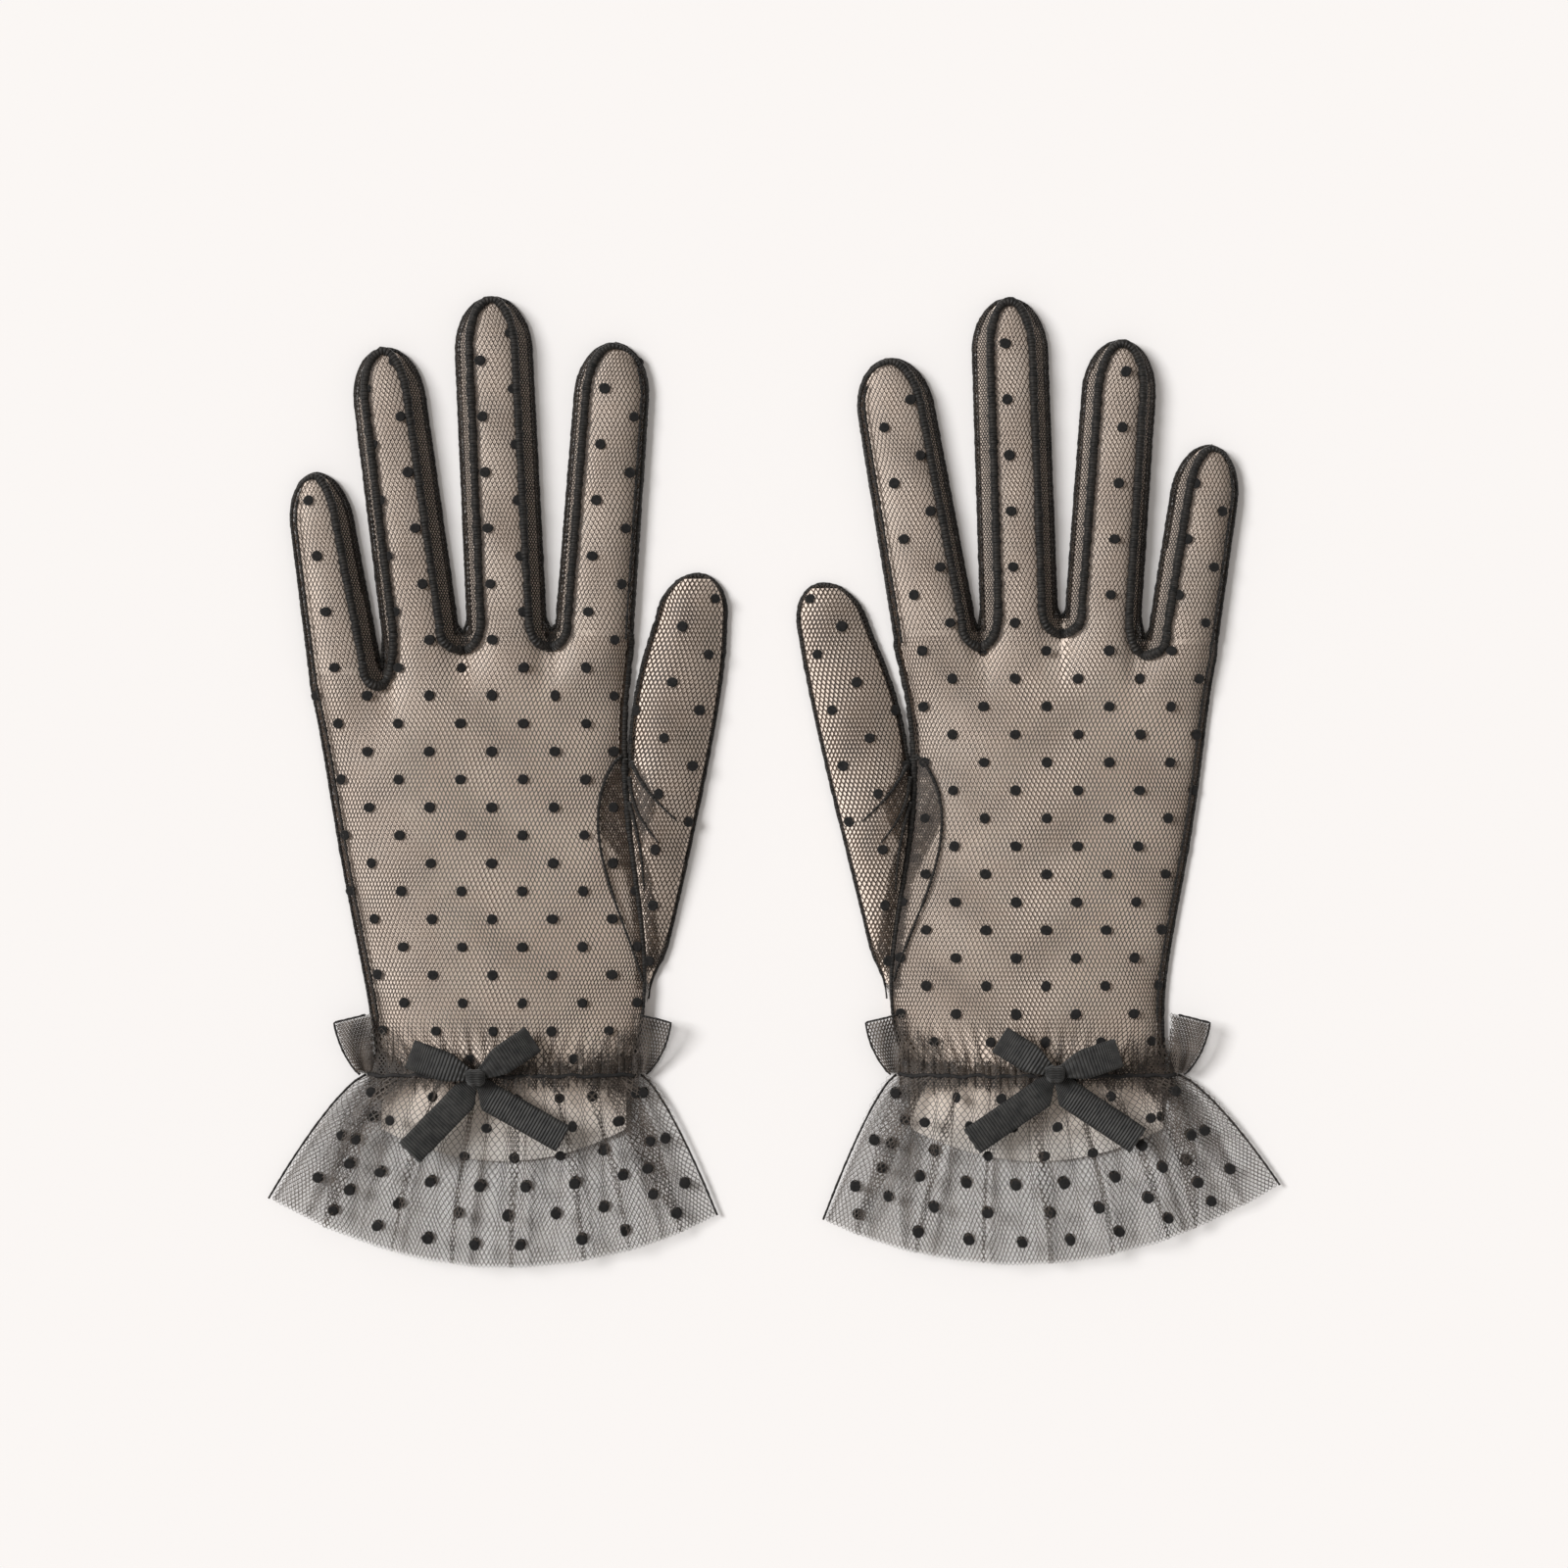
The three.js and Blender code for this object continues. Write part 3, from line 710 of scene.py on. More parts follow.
for glove in gloves:
    glove["crotches"] = crotches(glove)
    line = front_line(glove)
    glove["front"] = ([p[0] for p in line], [p[1] for p in line])


def front_y(glove, x):
    return float(np.interp(x, *glove["front"]))


# %% [markdown]
# ## Gathers at the wrist
# Above the elastic the hand's net is drawn in. It is drawn narrower, and pushed into small folds
# that lean over each other, stronger toward the elastic. The folds are sums of a few sine
# waves, so that no two are alike.

# %% The hand's net with its gathers
GATHER_REACH = 17.0   # stretch above the elastic that is drawn in
FOLD_PITCH = 4.3      # the folds of the hand's net lie about this far apart


def ripple(x, pitch, seed):
    """An uneven wave of about this pitch."""
    phase = 2 * math.pi * x / pitch
    return 0.6 * math.sin(phase + seed) + 0.4 * math.sin(phase * 0.618 + 2.1 * seed)


def hand_spot(glove, x, y):
    """Where a point of the flat net comes to lie on the hand, and how strongly it is gathered."""
    left, right = glove["outer"](y), glove["inner"](y)
    middle, half = (left + right) / 2, (right - left) / 2
    drawn = smooth((glove["wrist_y"] + GATHER_REACH - y) / GATHER_REACH)
    width = 1 - 0.05 * smooth((20 - y) / 80) - 0.16 * drawn
    shift = 0.95 * drawn * ripple(x, FOLD_PITCH, 1.0 + glove["sign"])
    away = (x - middle) * width + shift
    if abs(away) > half * (1 + ROLL):
        return middle + math.copysign(99, away), y, drawn
    return middle + rolled(half, away), y, drawn


def hand_net(glove, down):
    height = palm_height if down else back_height

    def keep(x, y):
        px, py, _ = hand_spot(glove, *pulled(x, y))
        inside = glove["outer"](py) + SEAM_INSET < px < glove["inner"](py) - SEAM_INSET
        front = root_line(glove, px) if down else front_y(glove, px)
        return inside and y < front and y > glove["wrist_y"] - 0.5

    def place(x, y):
        px, py, drawn = hand_spot(glove, *pulled(x, y))
        px = min(glove["inner"](py) - SEAM_INSET, max(glove["outer"](py) + SEAM_INSET, px))
        lift = 0.0 if down else 0.7 * drawn * ripple(x, FOLD_PITCH, 2.5 + glove["sign"])
        return Vector((px, py, height(glove, px, py) + lift))

    low = (glove["outer"](40) - 14, glove["wrist_y"] - 3)
    high = (glove["inner"](-60) + 14, max(f["root"].y for f in glove["fingers"]) + 2)
    return lay_net(low, high, keep, place, down=down)


# %% The thumb's net
THUMB_THREAD = 0.33   # the thumb's cloth is stretched least, so its threads are thickest


def thumb_spot(glove, x, y):
    """Where a point of the flat net comes to lie on the thumb: x is from its middle line."""
    return x + float(glove["thumb"]["middle"](min(y, glove["thumb"]["last"]))), y


def on_thumb(glove, x, y, down):
    return Vector((x, y, PALM_Z + 0.3 if down else thumb_height(glove, x, y)))


def thumb_net(glove, down):
    def edges(y):
        inner, outer = thumb_edges(glove, y)
        return inner + SEAM_INSET, outer - SEAM_INSET

    def keep(x, y):
        px, py = thumb_spot(glove, *pulled(x, y))
        inner, outer = edges(py)
        return inner < px < outer and glove["thumb"]["foot"] < y < glove["thumb"]["top"] - 0.8

    def place(x, y):
        px, py = thumb_spot(glove, *pulled(x, y))
        inner, outer = edges(py)
        return on_thumb(glove, min(max(inner, outer), max(inner, px)), py, down)

    low, high = (-14, glove["thumb"]["foot"]), (14, glove["thumb"]["top"])
    return lay_net(low, high, keep, place, thread=THUMB_THREAD, down=down)


# %% [markdown]
# ## Doubled net at the thumb
# The hole that the thumb is set into is cut in the palm, and its edge is turned back under the
# hand and under the thumb. Two layers of net, half a hole apart, look far darker than one. Their
# thread is also darker in colour, painted shade where the thumb meets the hand.

# %% Turned-back net
TURNING_MESH = 0.62


def patch(glove, low, high, inside, height, thread):
    """A second layer of net over the part of the surface that inside says."""
    def place(x, y):
        return Vector((x, y, height(glove, x, y) - 0.2))
    return lay_net(low, high, inside, place, size=TURNING_MESH, thread=thread)


def thumb_hole_x(glove, y):
    """The thumb-hole seam: a curve in the hand, from the thumb's crotch down to the wrist."""
    u = min(1.0, max(0.0, (7 - y) / 62))
    return glove["inner"](y) - 0.5 - 8.0 * math.sin(math.pi * u ** 0.7)


def hand_turning(glove):
    def inside(x, y):
        fade = smooth((y + 30) / 22)
        edge = lerp(glove["inner"](y) - 2.2, thumb_hole_x(glove, y), fade)
        return -57 < y < 7 and edge < x < glove["inner"](y) - 0.3
    return patch(glove, (20, -58), (60, 8), inside, back_height, 0.26)


def thumb_turning(glove):
    foot = glove["thumb"]["foot"] + 2

    def inside(x, y):
        inner, outer = thumb_edges(glove, y)
        width = 1.4 + 2.5 * smooth((-8 - y) / 20)
        if y > -20:
            width = 2.0 + 5.5 * smooth((14 - abs(y + 6)) / 14)
        return foot < y < 8 and inner + 0.2 < x < min(outer - 0.6, inner + width)
    return patch(glove, (30, -58), (70, 9), inside, thumb_height, 0.25)


# %% Lay the net of both gloves
for glove in gloves:
    for down, panel, part in ((False, "back", "hand_back"), (True, "front", "hand_palm")):
        for f in glove["fingers"]:
            name = f"{f['name']}_{panel}"
            net = finger_net(glove, f, down)
            piece = make_piece(net, glove, f"{name}_net", NET, "dotted_tulle", name)
            bend_with_finger(piece, glove, f)
        name = f"thumb_{panel}"
        piece = make_piece(thumb_net(glove, down), glove, f"{name}_net", NET, "dotted_tulle", name)
        bend_with_thumb(piece, glove)
        if not down:
            on_hand(hand_turning(glove), glove, "hand_turning_net", SHADED_NET, "dotted_tulle")
            net = thumb_turning(glove)
            piece = make_piece(net, glove, "thumb_turning_net", SHADED_NET, "dotted_tulle")
            bend_with_thumb(piece, glove)
        on_hand(hand_net(glove, down), glove, f"{part}_net", NET, "dotted_tulle", part)
print("net triangles:", sum(triangles(p) for p in pieces.values()))


# %% [markdown]
# ## Fourchettes
# The narrow strips between the fingers are plain net without dots, of a closer mesh, and they
# slope down from the seam to the table. The closer mesh over the lining, and a darker thread colour
# that is painted shade on the slope, make the brown shadow along both sides of a finger.

# %% Side strips
STRIP_MESH = 0.6
STRIP_THREAD = 0.33
MEET = 4.6         # the two strips of a crotch meet this far above the bottom of the U
UNDER_SEAM = 0.3   # a strip starts this far under the seam of the back


def crotch_beside(glove, f, end):
    """The crotch at one side of a finger: end 0 is the little-finger side."""
    return glove["crotches"][glove["fingers"].index(f) - 1 + end]


def fourchette_net(glove, f, end):
    """A side strip; near the root it runs on until it meets its neighbour in the crotch."""
    sign = 2 * end - 1
    dip = crotch_beside(glove, f, end)

    def reach(t, y):
        meet = smooth((dip.y + MEET + 1.5 - y) / 1.5)
        middle = abs(finger_coordinates(f, dip.x, y)[0]) + 0.1
        return lerp(half_width(f, t) - 0.1, max(middle, half_width(f, t) - 0.1), meet)

    def keep(x, y):
        sx, sy = slant(f, x, y)
        c, t = finger_coordinates(f, sx, sy)
        if t > f["length"] - 3 or sy < dip.y - 0.2:
            return False
        edge = strip_limits(f, t)[end] * sign
        inside = edge - UNDER_SEAM < c * sign < reach(t, sy)
        return inside and (t > U_TOP or sy > front_y(glove, sx) - 0.6)

    def place(x, y):
        sx, sy = slant(f, x, y)
        c, t = finger_coordinates(f, sx, sy)
        edge = strip_limits(f, t)[end] * sign
        c = sign * min(reach(t, sy), max(edge - UNDER_SEAM, c * sign))
        return on_back(glove, *finger_point(f, c, t), -0.05)

    low = (f["root"].x - f["half"] - 5, f["root"].y - 12)
    high = (f["root"].x + f["half"] + 5, f["root"].y + f["length"])
    return lay_net(low, high, keep, place, size=STRIP_MESH, thread=STRIP_THREAD)


for glove in gloves:
    for f in glove["fingers"]:
        for end, word in enumerate(("out", "in")):
            if f["strips"][end]:
                net, name = fourchette_net(glove, f, end), f"{f['name']}_fourchette_{word}"
                piece = make_piece(net, glove, f"{name}_net", SHADED_NET, "fourchette_tulle", name)
                bend_with_finger(piece, glove, f)


# %% [markdown]
# ## Lining
# The lining is a nude glove inside the net one. Each part is a flattened sleeve: a ring of
# points drawn out along its length by extrusion, then set just under the net on top and just
# over it below. It stops short of the plain outlines, where a thin line of bare net shows.

# %% Sleeves of lining
UNDER_NET = 0.4               # lining lies this far below the net
BARE_EDGE = 1.3               # bare net along a plain outline
LINING_LOW = PALM_Z + 0.7     # its palm side


def under_net(glove, x, y):
    """The lining's height: just under the lowest net near this place."""
    near = [back_height(glove, x + step, y) for step in (-1.6, -0.8, 0, 0.8, 1.6)]
    return min(near) - UNDER_NET


def grow(bm, edges):
    """Draw a ring of edges out: the new ring's corners and edges, and the wall between."""
    grown = bmesh.ops.extrude_edge_only(bm, edges=edges)["geom"]
    ring = [g for g in grown if isinstance(g, bmesh.types.BMVert)]
    fresh = set(ring)
    edges = [g for g in grown if isinstance(g, bmesh.types.BMEdge) and set(g.verts) <= fresh]
    return ring, edges, [g for g in grown if isinstance(g, bmesh.types.BMFace)]


def sleeve(segments, rows, place, closed_tip):
    """A tube of rows rings; place(angle, row share) sets each point."""
    bm = bmesh.new()
    ring = bmesh.ops.create_circle(bm, cap_ends=False, segments=segments, radius=1)["verts"]
    edges = list(bm.edges)
    rings = [ring]
    for _ in range(rows):
        ring, edges, _ = grow(bm, edges)
        rings.append(ring)
    for row, ring in enumerate(rings):
        for corner in ring:
            angle = math.atan2(corner.co.y, corner.co.x)
            corner.co = place(angle, row / rows)
    if closed_tip:
        bmesh.ops.holes_fill(bm, edges=edges, sides=0)
    bmesh.ops.recalc_face_normals(bm, faces=bm.faces)
    return bm


def across_sleeve(angle, squareness):
    """How far across a flattened sleeve a corner of its ring lies, from -1 to 1."""
    cos = math.cos(angle)
    return math.copysign(abs(cos) ** squareness, cos)


def finger_lining(glove, f):
    def place(angle, share):
        t = -4 + (f["length"] + 2.8) * (1 - (1 - share) ** 1.3)
        c = across_sleeve(angle, 0.8)
        beside_strip = f["strips"][0 if c < 0 else 1]
        c *= max(0.3, half_width(f, t) - (0.9 if beside_strip else BARE_EDGE))
        point = finger_point(f, c, t)
        top = max(LINING_LOW, under_net(glove, point.x, point.y))
        side = math.sin(angle)
        z = (LINING_LOW + top) / 2 if abs(side) < 0.05 else top if side > 0 else LINING_LOW
        return Vector((point.x, point.y, z))

    return sleeve(40, 64, place, True)


def thumb_lining(glove):
    foot, top = glove["thumb"]["foot"] + 4, glove["thumb"]["top"] - 1.6

    def place(angle, share):
        y = lerp(foot, top, 1 - (1 - share) ** 1.5)
        inner, outer = thumb_edges(glove, y)
        inner += 0.2 if y < 2 else BARE_EDGE
        across = (1 + across_sleeve(angle, 0.8)) / 2
        x = lerp(inner, max(inner + 0.3, outer - 0.8), across)
        low = PALM_Z + 0.6
        high = max(low, thumb_height(glove, x, y) - UNDER_NET)
        return Vector((x, y, high if math.sin(angle) > 0 else low))

    return sleeve(36, 30, place, True)


# %% The hand's lining runs on into the cuff
LINING_TAIL = 24.0    # it ends this far below the elastic
TAIL_ARC = 9.0        # and this much less at its sides
TAIL_INSET = 4.0      # it is this much narrower than the waist at each side


def lining_front(glove, x):
    """The lining's front edge under the knuckles; it is cut out at the crotches."""
    front = root_line(glove, x)
    for dip in glove["crotches"]:
        front = lerp(min(front, dip.y + MEET - 1), front, smooth((abs(x - dip.x) - 2.0) / 3))
    return front + 0.5


def lining_sides(glove, y):
    """Where the lining starts and ends across the hand or, below the elastic, the cuff."""
    if y < glove["wrist_y"]:
        return glove["waist"][0] + TAIL_INSET, glove["waist"][1] - TAIL_INSET
    return glove["outer"](y) + BARE_EDGE, glove["inner"](y) - 0.4


def hand_lining(glove):
    def place(angle, share):
        side = across_sleeve(angle, 0.7)
        across = (1 + side) / 2
        end = glove["wrist_y"] - LINING_TAIL + TAIL_ARC * side ** 2
        near = lerp(end, glove["fingers"][0]["root"].y - 2, share)
        front = lining_front(glove, lerp(*lining_sides(glove, near), across))
        y = lerp(end, front, share)
        x = lerp(*lining_sides(glove, y), across)
        if y < glove["wrist_y"]:
            below = (glove["wrist_y"] - y) / LINING_TAIL
            high = lerp(back_height(glove, x, glove["wrist_y"]) - 1.8, 1.4, below ** 0.8)
        else:
            high = under_net(glove, x, min(y, front))
        return Vector((x, y, max(LINING_LOW, high) if math.sin(angle) > 0 else LINING_LOW))

    return sleeve(150, 90, place, False)


for glove in gloves:
    on_hand(hand_lining(glove), glove, "hand_sleeve", NUDE, "nude_lining", "hand_lining", True)
    bm = thumb_lining(glove)
    piece = make_piece(bm, glove, "thumb_stall", NUDE, "nude_lining", "thumb_lining", True)
    bend_with_thumb(piece, glove)
    for f in glove["fingers"]:
        bm, name = finger_lining(glove, f), f["name"]
        piece = make_piece(bm, glove, f"{name}_stall", NUDE, "nude_lining", f"{name}_lining", True)
        bend_with_finger(piece, glove, f)


# %% [markdown]
# ## Rolled seams
# The seams are turned edges of net, oversewn, so they are thick, round and lumpy. A seam is a
# small ring drawn along a path: each step extrudes the last ring and moves it to the next
# point. The ring swells and shrinks a little at every step, which gives the stitches.

# %% Drawing a seam along a path
SEAM_STEP = 0.8


def spread_along(points, step):
    """The same path with points an even step apart."""
    line = np.array([tuple(p) for p in points])
    run = np.concatenate([[0], np.cumsum(np.linalg.norm(np.diff(line, axis=0), axis=1))])
    at = np.linspace(0, run[-1], max(3, int(run[-1] / step) + 1))
    return [Vector([float(np.interp(s, run, line[:, k])) for k in range(3)]) for s in at]


def draw_seam(bm, points, radius, lump=0.16, seed=1):
    """Adds a rolled seam to the mesh; radius is a number, or a function of the share along."""
    path = spread_along(points, SEAM_STEP)
    noise = random.Random(seed)
    size = radius if callable(radius) else (lambda share: radius)
    ring = bmesh.ops.create_circle(bm, cap_ends=False, segments=7, radius=1)["verts"]
    edges = start = list(dict.fromkeys(e for v in ring for e in v.link_edges))
    last = Matrix.Identity(4)
    uv = bm.loops.layers.uv.verify()
    for i, point in enumerate(path):
        share = i / (len(path) - 1)
        ahead = (path[min(i + 1, len(path) - 1)] - path[max(i - 1, 0)]).normalized()
        aside = ahead.cross(Vector((0, 0, 1))).normalized()
        up = aside.cross(ahead)
        r = size(share) * (1 + noise.uniform(-lump, lump))
        now = Matrix((aside * r, up * r, ahead * r)).transposed().to_4x4()
        now.translation = point + aside * noise.uniform(-lump, lump) * r * 0.6
        if i:
            ring, edges, wall = grow(bm, edges)
            fresh = set(ring)
            for loop in (loop for face in wall for loop in face.loops):
                loop[uv].uv = (0, (i if loop.vert in fresh else i - 1) * SEAM_STEP)
        bmesh.ops.transform(bm, matrix=now @ last.inverted(), verts=ring)
        last = now
    bmesh.ops.holes_fill(bm, edges=start + edges, sides=0)


def sewn(seams):
    """One mesh with all these seams: path, radius and seed, and how lumpy it is if that differs."""
    bm = bmesh.new()
    for points, radius, seed, *lump in seams:
        draw_seam(bm, points, radius, *lump, seed=seed)
    bmesh.ops.recalc_face_normals(bm, faces=bm.faces)
    return bm


# %% Seams of a finger
THICK = 1.18        # radius of a seam that joins a fourchette
THIN = 0.5          # radius of the rolled edge round a plain outline
ROW = 0.34          # radius of the second, finer row of stitches along a plain edge
ROW_INSET = 1.7     # how far in that row runs
ROW_LUMP = 0.3
ROLLED_IN = 0.2     # the outline's seam lies this far inside the outline


def on_finger(glove, f, c, t, above):
    return on_back(glove, *finger_point(f, c, t), above)


def strip_seam(glove, f):
    """Round the back strip: up one side, over the tip and down the other."""
    straight = f["length"] - TIP
    points = []
    for end in (0, 1):
        side = [(strip_limits(f, t)[end], t) for t in np.linspace(U_TOP, straight, 24)]
        for angle in range(6, 91, 6):
            a = math.radians(angle)
            side.append((side[23][0] * math.cos(a), straight + (TIP - TIP_INSET) * math.sin(a)))
        points += side[::-1][1:] if end else side
    return [on_finger(glove, f, c, t, 0.15) for c, t in points]


def outline_seam(glove, f, end):
    """Along the finger's outline on one side, up to the tip."""
    sign, straight = 2 * end - 1, f["length"] - TIP
    rows = np.linspace(U_TOP, straight, 20)
    points = [(sign * (half_width(f, t) - ROLLED_IN), t) for t in rows]
    for angle in range(6, 91, 6):
        a = math.radians(angle)
        points.append((points[19][0] * math.cos(a), straight + (TIP - 0.4) * math.sin(a)))
    if f["strips"][end]:
        dip = crotch_beside(glove, f, end)
        first = Vector((dip.x, dip.y + MEET, EDGE_Z))
    else:
        first = Vector((*finger_point(f, sign * (f["half"] - ROLLED_IN), -1), EDGE_Z))
    return [first] + [Vector((*finger_point(f, c, t), EDGE_Z)) for c, t in points]


def second_row(glove, f, end):
    """On a plain side a second, finer row of stitches holds the turned edge down."""
    rows = np.linspace(-1, f["length"] - TIP * 0.45, 26)
    return [on_finger(glove, f, (2 * end - 1) * (half_width(f, t) - ROW_INSET), t, 0.1) for t in rows]


def seam_radius(f):
    """Thick along a fourchette, thin along a plain edge, with the change at the tip."""
    first, second = (THICK if strip else THIN for strip in f["strips"])
    return lambda share: lerp(first, second, smooth((share - 0.46) / 0.08))


def finger_seams(glove, f, seed):
    seams = [(strip_seam(glove, f), seam_radius(f), seed)]
    for end in (0, 1):
        seams.append((outline_seam(glove, f, end), THIN, seed + 10 + end))
        if not f["strips"][end]:
            seams.append((second_row(glove, f, end), ROW, seed + 5, ROW_LUMP))
    return sewn(seams)


# %% Seams of the hand and the thumb
def crotch_seam(glove, i):
    """The U of thick seam between two fingers."""
    return [on_back(glove, *p, 0.25) for p in crotch_curve(glove, i)]


def edge_seam(glove, which, low, high):
    """Along the hand's outer or inner edge; the inner one is held up by the thumb."""
    rows = np.linspace(low, high, 40)
    held = seam_lift if which == "inner" else (lambda y: 0)
    return [Vector((glove[which](y), y, EDGE_Z + held(y))) for y in rows]


def thumb_outline(glove):
    """From the crotch over the thumb's tip and down its outer edge to the wrist."""
    thumb = glove["thumb"]
    last = thumb["last"]
    inner = [(thumb_edges(glove, y)[0] + ROLLED_IN, y) for y in np.linspace(5, last, 16)]
    outer = [(thumb_edges(glove, y)[1] - ROLLED_IN, y) for y in np.linspace(last, thumb["foot"], 36)]
    half = (outer[0][0] - inner[-1][0]) / 2
    tip = []
    for angle in range(10, 171, 8):
        a = math.radians(angle)
        y = last + (THUMB_TIP - 0.4) * math.sin(a)
        left, right = thumb_edges(glove, min(y, thumb["top"] - 0.01))
        tip.append(((left + right) / 2 - half * math.cos(a), y))
    return [Vector((x, y, EDGE_Z)) for x, y in inner + tip + outer]


def thumb_radius(share):
    """Thin on the crotch side, thicker down the outer side, and tapered away at the wrist."""
    return lerp(0.75, 0.55, smooth((share - 0.4) / 0.2)) * lerp(1, 0.4, smooth((share - 0.93) / 0.07))


def thumb_hole_seam(glove):
    """The thin curved seam inside the hand, round the hole that the thumb is set into."""
    return [on_back(glove, thumb_hole_x(glove, y), y, 0.2) for y in np.linspace(7, -55, 30)]


def tapered(first, last):
    return lambda share: lerp(first, last, share)


PLEATS = (  # creases across the thumb: start and end, from the hand's inner edge, and their bow
    ((1.5, 5), (14, -11), -1.5),
    ((1.0, 1), (9, -17), -2.0),
    ((1.0, -6), (5, -30), 0.8),
)


def pleat(glove, start, end, bow):
    points = []
    for u in np.linspace(0, 1, 12):
        x = glove["inner"](-4) + lerp(start[0], end[0], u) + bow * math.sin(math.pi * u)
        y = lerp(start[1], end[1], u)
        points.append(Vector((x, y, thumb_height(glove, x, y) + 0.1)))
    return points


# %% Sew both gloves
for glove in gloves:
    for i, f in enumerate(glove["fingers"]):
        bm = finger_seams(glove, f, 10 * i)
        piece = make_piece(bm, glove, f"{f['name']}_seams", SEAM, "dotted_tulle", shade=True)
        bend_with_finger(piece, glove, f)
    little, index = glove["fingers"][0]["root"].y, glove["fingers"][3]["root"].y
    row = [on_back(glove, glove["outer"](y) + ROW_INSET, y, 0.1) for y in np.linspace(-66, little, 40)]
    seams = [(crotch_seam(glove, i), THICK * 1.1, 40 + i) for i in range(3)]
    seams += [(edge_seam(glove, "outer", -76, little), THIN, 50), (row, ROW, 57, ROW_LUMP),
              (edge_seam(glove, "inner", 4, index), 0.85, 51),
              (edge_seam(glove, "inner", -59, 6), tapered(0.5, 1.2), 52),
              (edge_seam(glove, "inner", -77, -58), 0.5, 55),
              (thumb_hole_seam(glove), tapered(0.5, 0.3), 53)]
    on_hand(sewn(seams), glove, "hand_seams", SEAM, "dotted_tulle", shade=True)
    seams = [(thumb_outline(glove), thumb_radius, 54)]
    seams += [(pleat(glove, *line), tapered(0.7, 0.2), 56) for line in PLEATS]
    piece = make_piece(sewn(seams), glove, "thumb_seam", SEAM, "dotted_tulle", shade=True)
    bend_with_thumb(piece, glove)


# %% [markdown]
# ## Flocked dots
# The dots are flock, glued on in a staggered grid, so each is a low, soft-edged disc. They
# follow the same map as the net: a place in the lattice is moved to where that bit of cloth
# lies, and the disc is turned to face the way the cloth faces.

# %% One dot, and a grid of them
DOT = 1.45           # radius
DOT_HEIGHT = 0.3
DOT_COLUMN = 8.6     # between columns of dots
DOT_PITCH = 15.3     # between dots of one column; the next column is half of that aside


def add_dot(bm, point, facing, noise):
    turn = facing.to_track_quat("Z", "Y").to_matrix().to_4x4()
    turn.translation = point
    size = Matrix.Diagonal((noise.uniform(0.92, 1.06), noise.uniform(1.0, 1.14), 1, 1))
    made = bmesh.ops.create_cone(
        bm, cap_ends=True, segments=11, radius1=DOT, radius2=DOT * 0.8, depth=DOT_HEIGHT,
        matrix=turn @ size)
    for corner in made["verts"]:
        corner.co += Vector((noise.uniform(-1, 1), noise.uniform(-1, 1), 0)) * 0.07


def dot_grid(low, high, start):
    """Every place of the staggered grid inside a box of the flat cloth."""
    first = math.floor((low[0] - start[0]) / DOT_COLUMN)
    last = math.ceil((high[0] - start[0]) / DOT_COLUMN)
    for column in range(first, last + 1):
        x = start[0] + column * DOT_COLUMN
        aside = start[1] + (column % 2) * DOT_PITCH / 2
        rows = [math.floor((low[1] - aside) / DOT_PITCH), math.ceil((high[1] - aside) / DOT_PITCH)]
        for row in range(rows[0], rows[1] + 1):
            yield x, aside + row * DOT_PITCH


def cover_with_dots(low, high, start, keep, place, seed, down=False):
    bm = bmesh.new()
    noise = random.Random(seed)
    for x, y in dot_grid(low, high, start):
        if not keep(x, y):
            continue
        along = place(x + 0.6, y) - place(x - 0.6, y)
        facing = along.cross(place(x, y + 0.6) - place(x, y - 0.6))
        if facing.length < 1e-6:
            continue
        up = -1 if down else 1
        facing = facing.normalized() * math.copysign(1, facing.z) * up + Vector((0, 0, up * 0.8))
        facing.normalize()
        add_dot(bm, place(x, y) + facing * 0.14, facing, noise)
    return bm


# %% Dots on the hand, the fingers and the thumb
DOT_START = {"left": (-0.2, 8.0), "right": (2.5, 5.0)}
THUMB_DOT_START = (-1.9, 11.7)


def finger_dots(glove, f, height, seed, down):
    def keep(x, y):
        c, t = finger_cloth(f, x, y)
        low, high = strip_limits(f, t)
        return y >= f["root"].y and low - 0.2 < c < high + 0.2 and t < f["length"] - 4

    def place(x, y):
        x, y = finger_point(f, *finger_cloth(f, x, y))
        return Vector((x, y, height(glove, x, y)))

    root, reach = f["root"], f["half"] + 3
    low, high = (root.x - reach, root.y), (root.x + reach, root.y + f["length"])
    return cover_with_dots(low, high, DOT_START[glove["side"]], keep, place, seed, down)


def hand_dots(glove, height, seed, down):
    def keep(x, y):
        px, py, _ = hand_spot(glove, x, y)
        inside = glove["outer"](py) + 0.3 < px < glove["inner"](py) - 0.3
        return inside and y < front_y(glove, px) and y > glove["wrist_y"] + 3

    def place(x, y):
        x, y, _ = hand_spot(glove, x, y)
        return Vector((x, y, height(glove, x, y)))

    low, high = (-60, glove["wrist_y"]), (60, 50)
    return cover_with_dots(low, high, DOT_START[glove["side"]], keep, place, seed, down)


def thumb_dots(glove, seed, down):
    thumb = glove["thumb"]

    def keep(x, y):
        px, py = thumb_spot(glove, x, y)
        inner, outer = thumb_edges(glove, py)
        return inner + 0.6 < px < outer - 0.4 and thumb["foot"] + 6 < y < thumb["top"] - 4

    def place(x, y):
        return on_thumb(glove, *thumb_spot(glove, x, y), down)

    return cover_with_dots((-14, -50), (14, 56), THUMB_DOT_START, keep, place, seed, down)


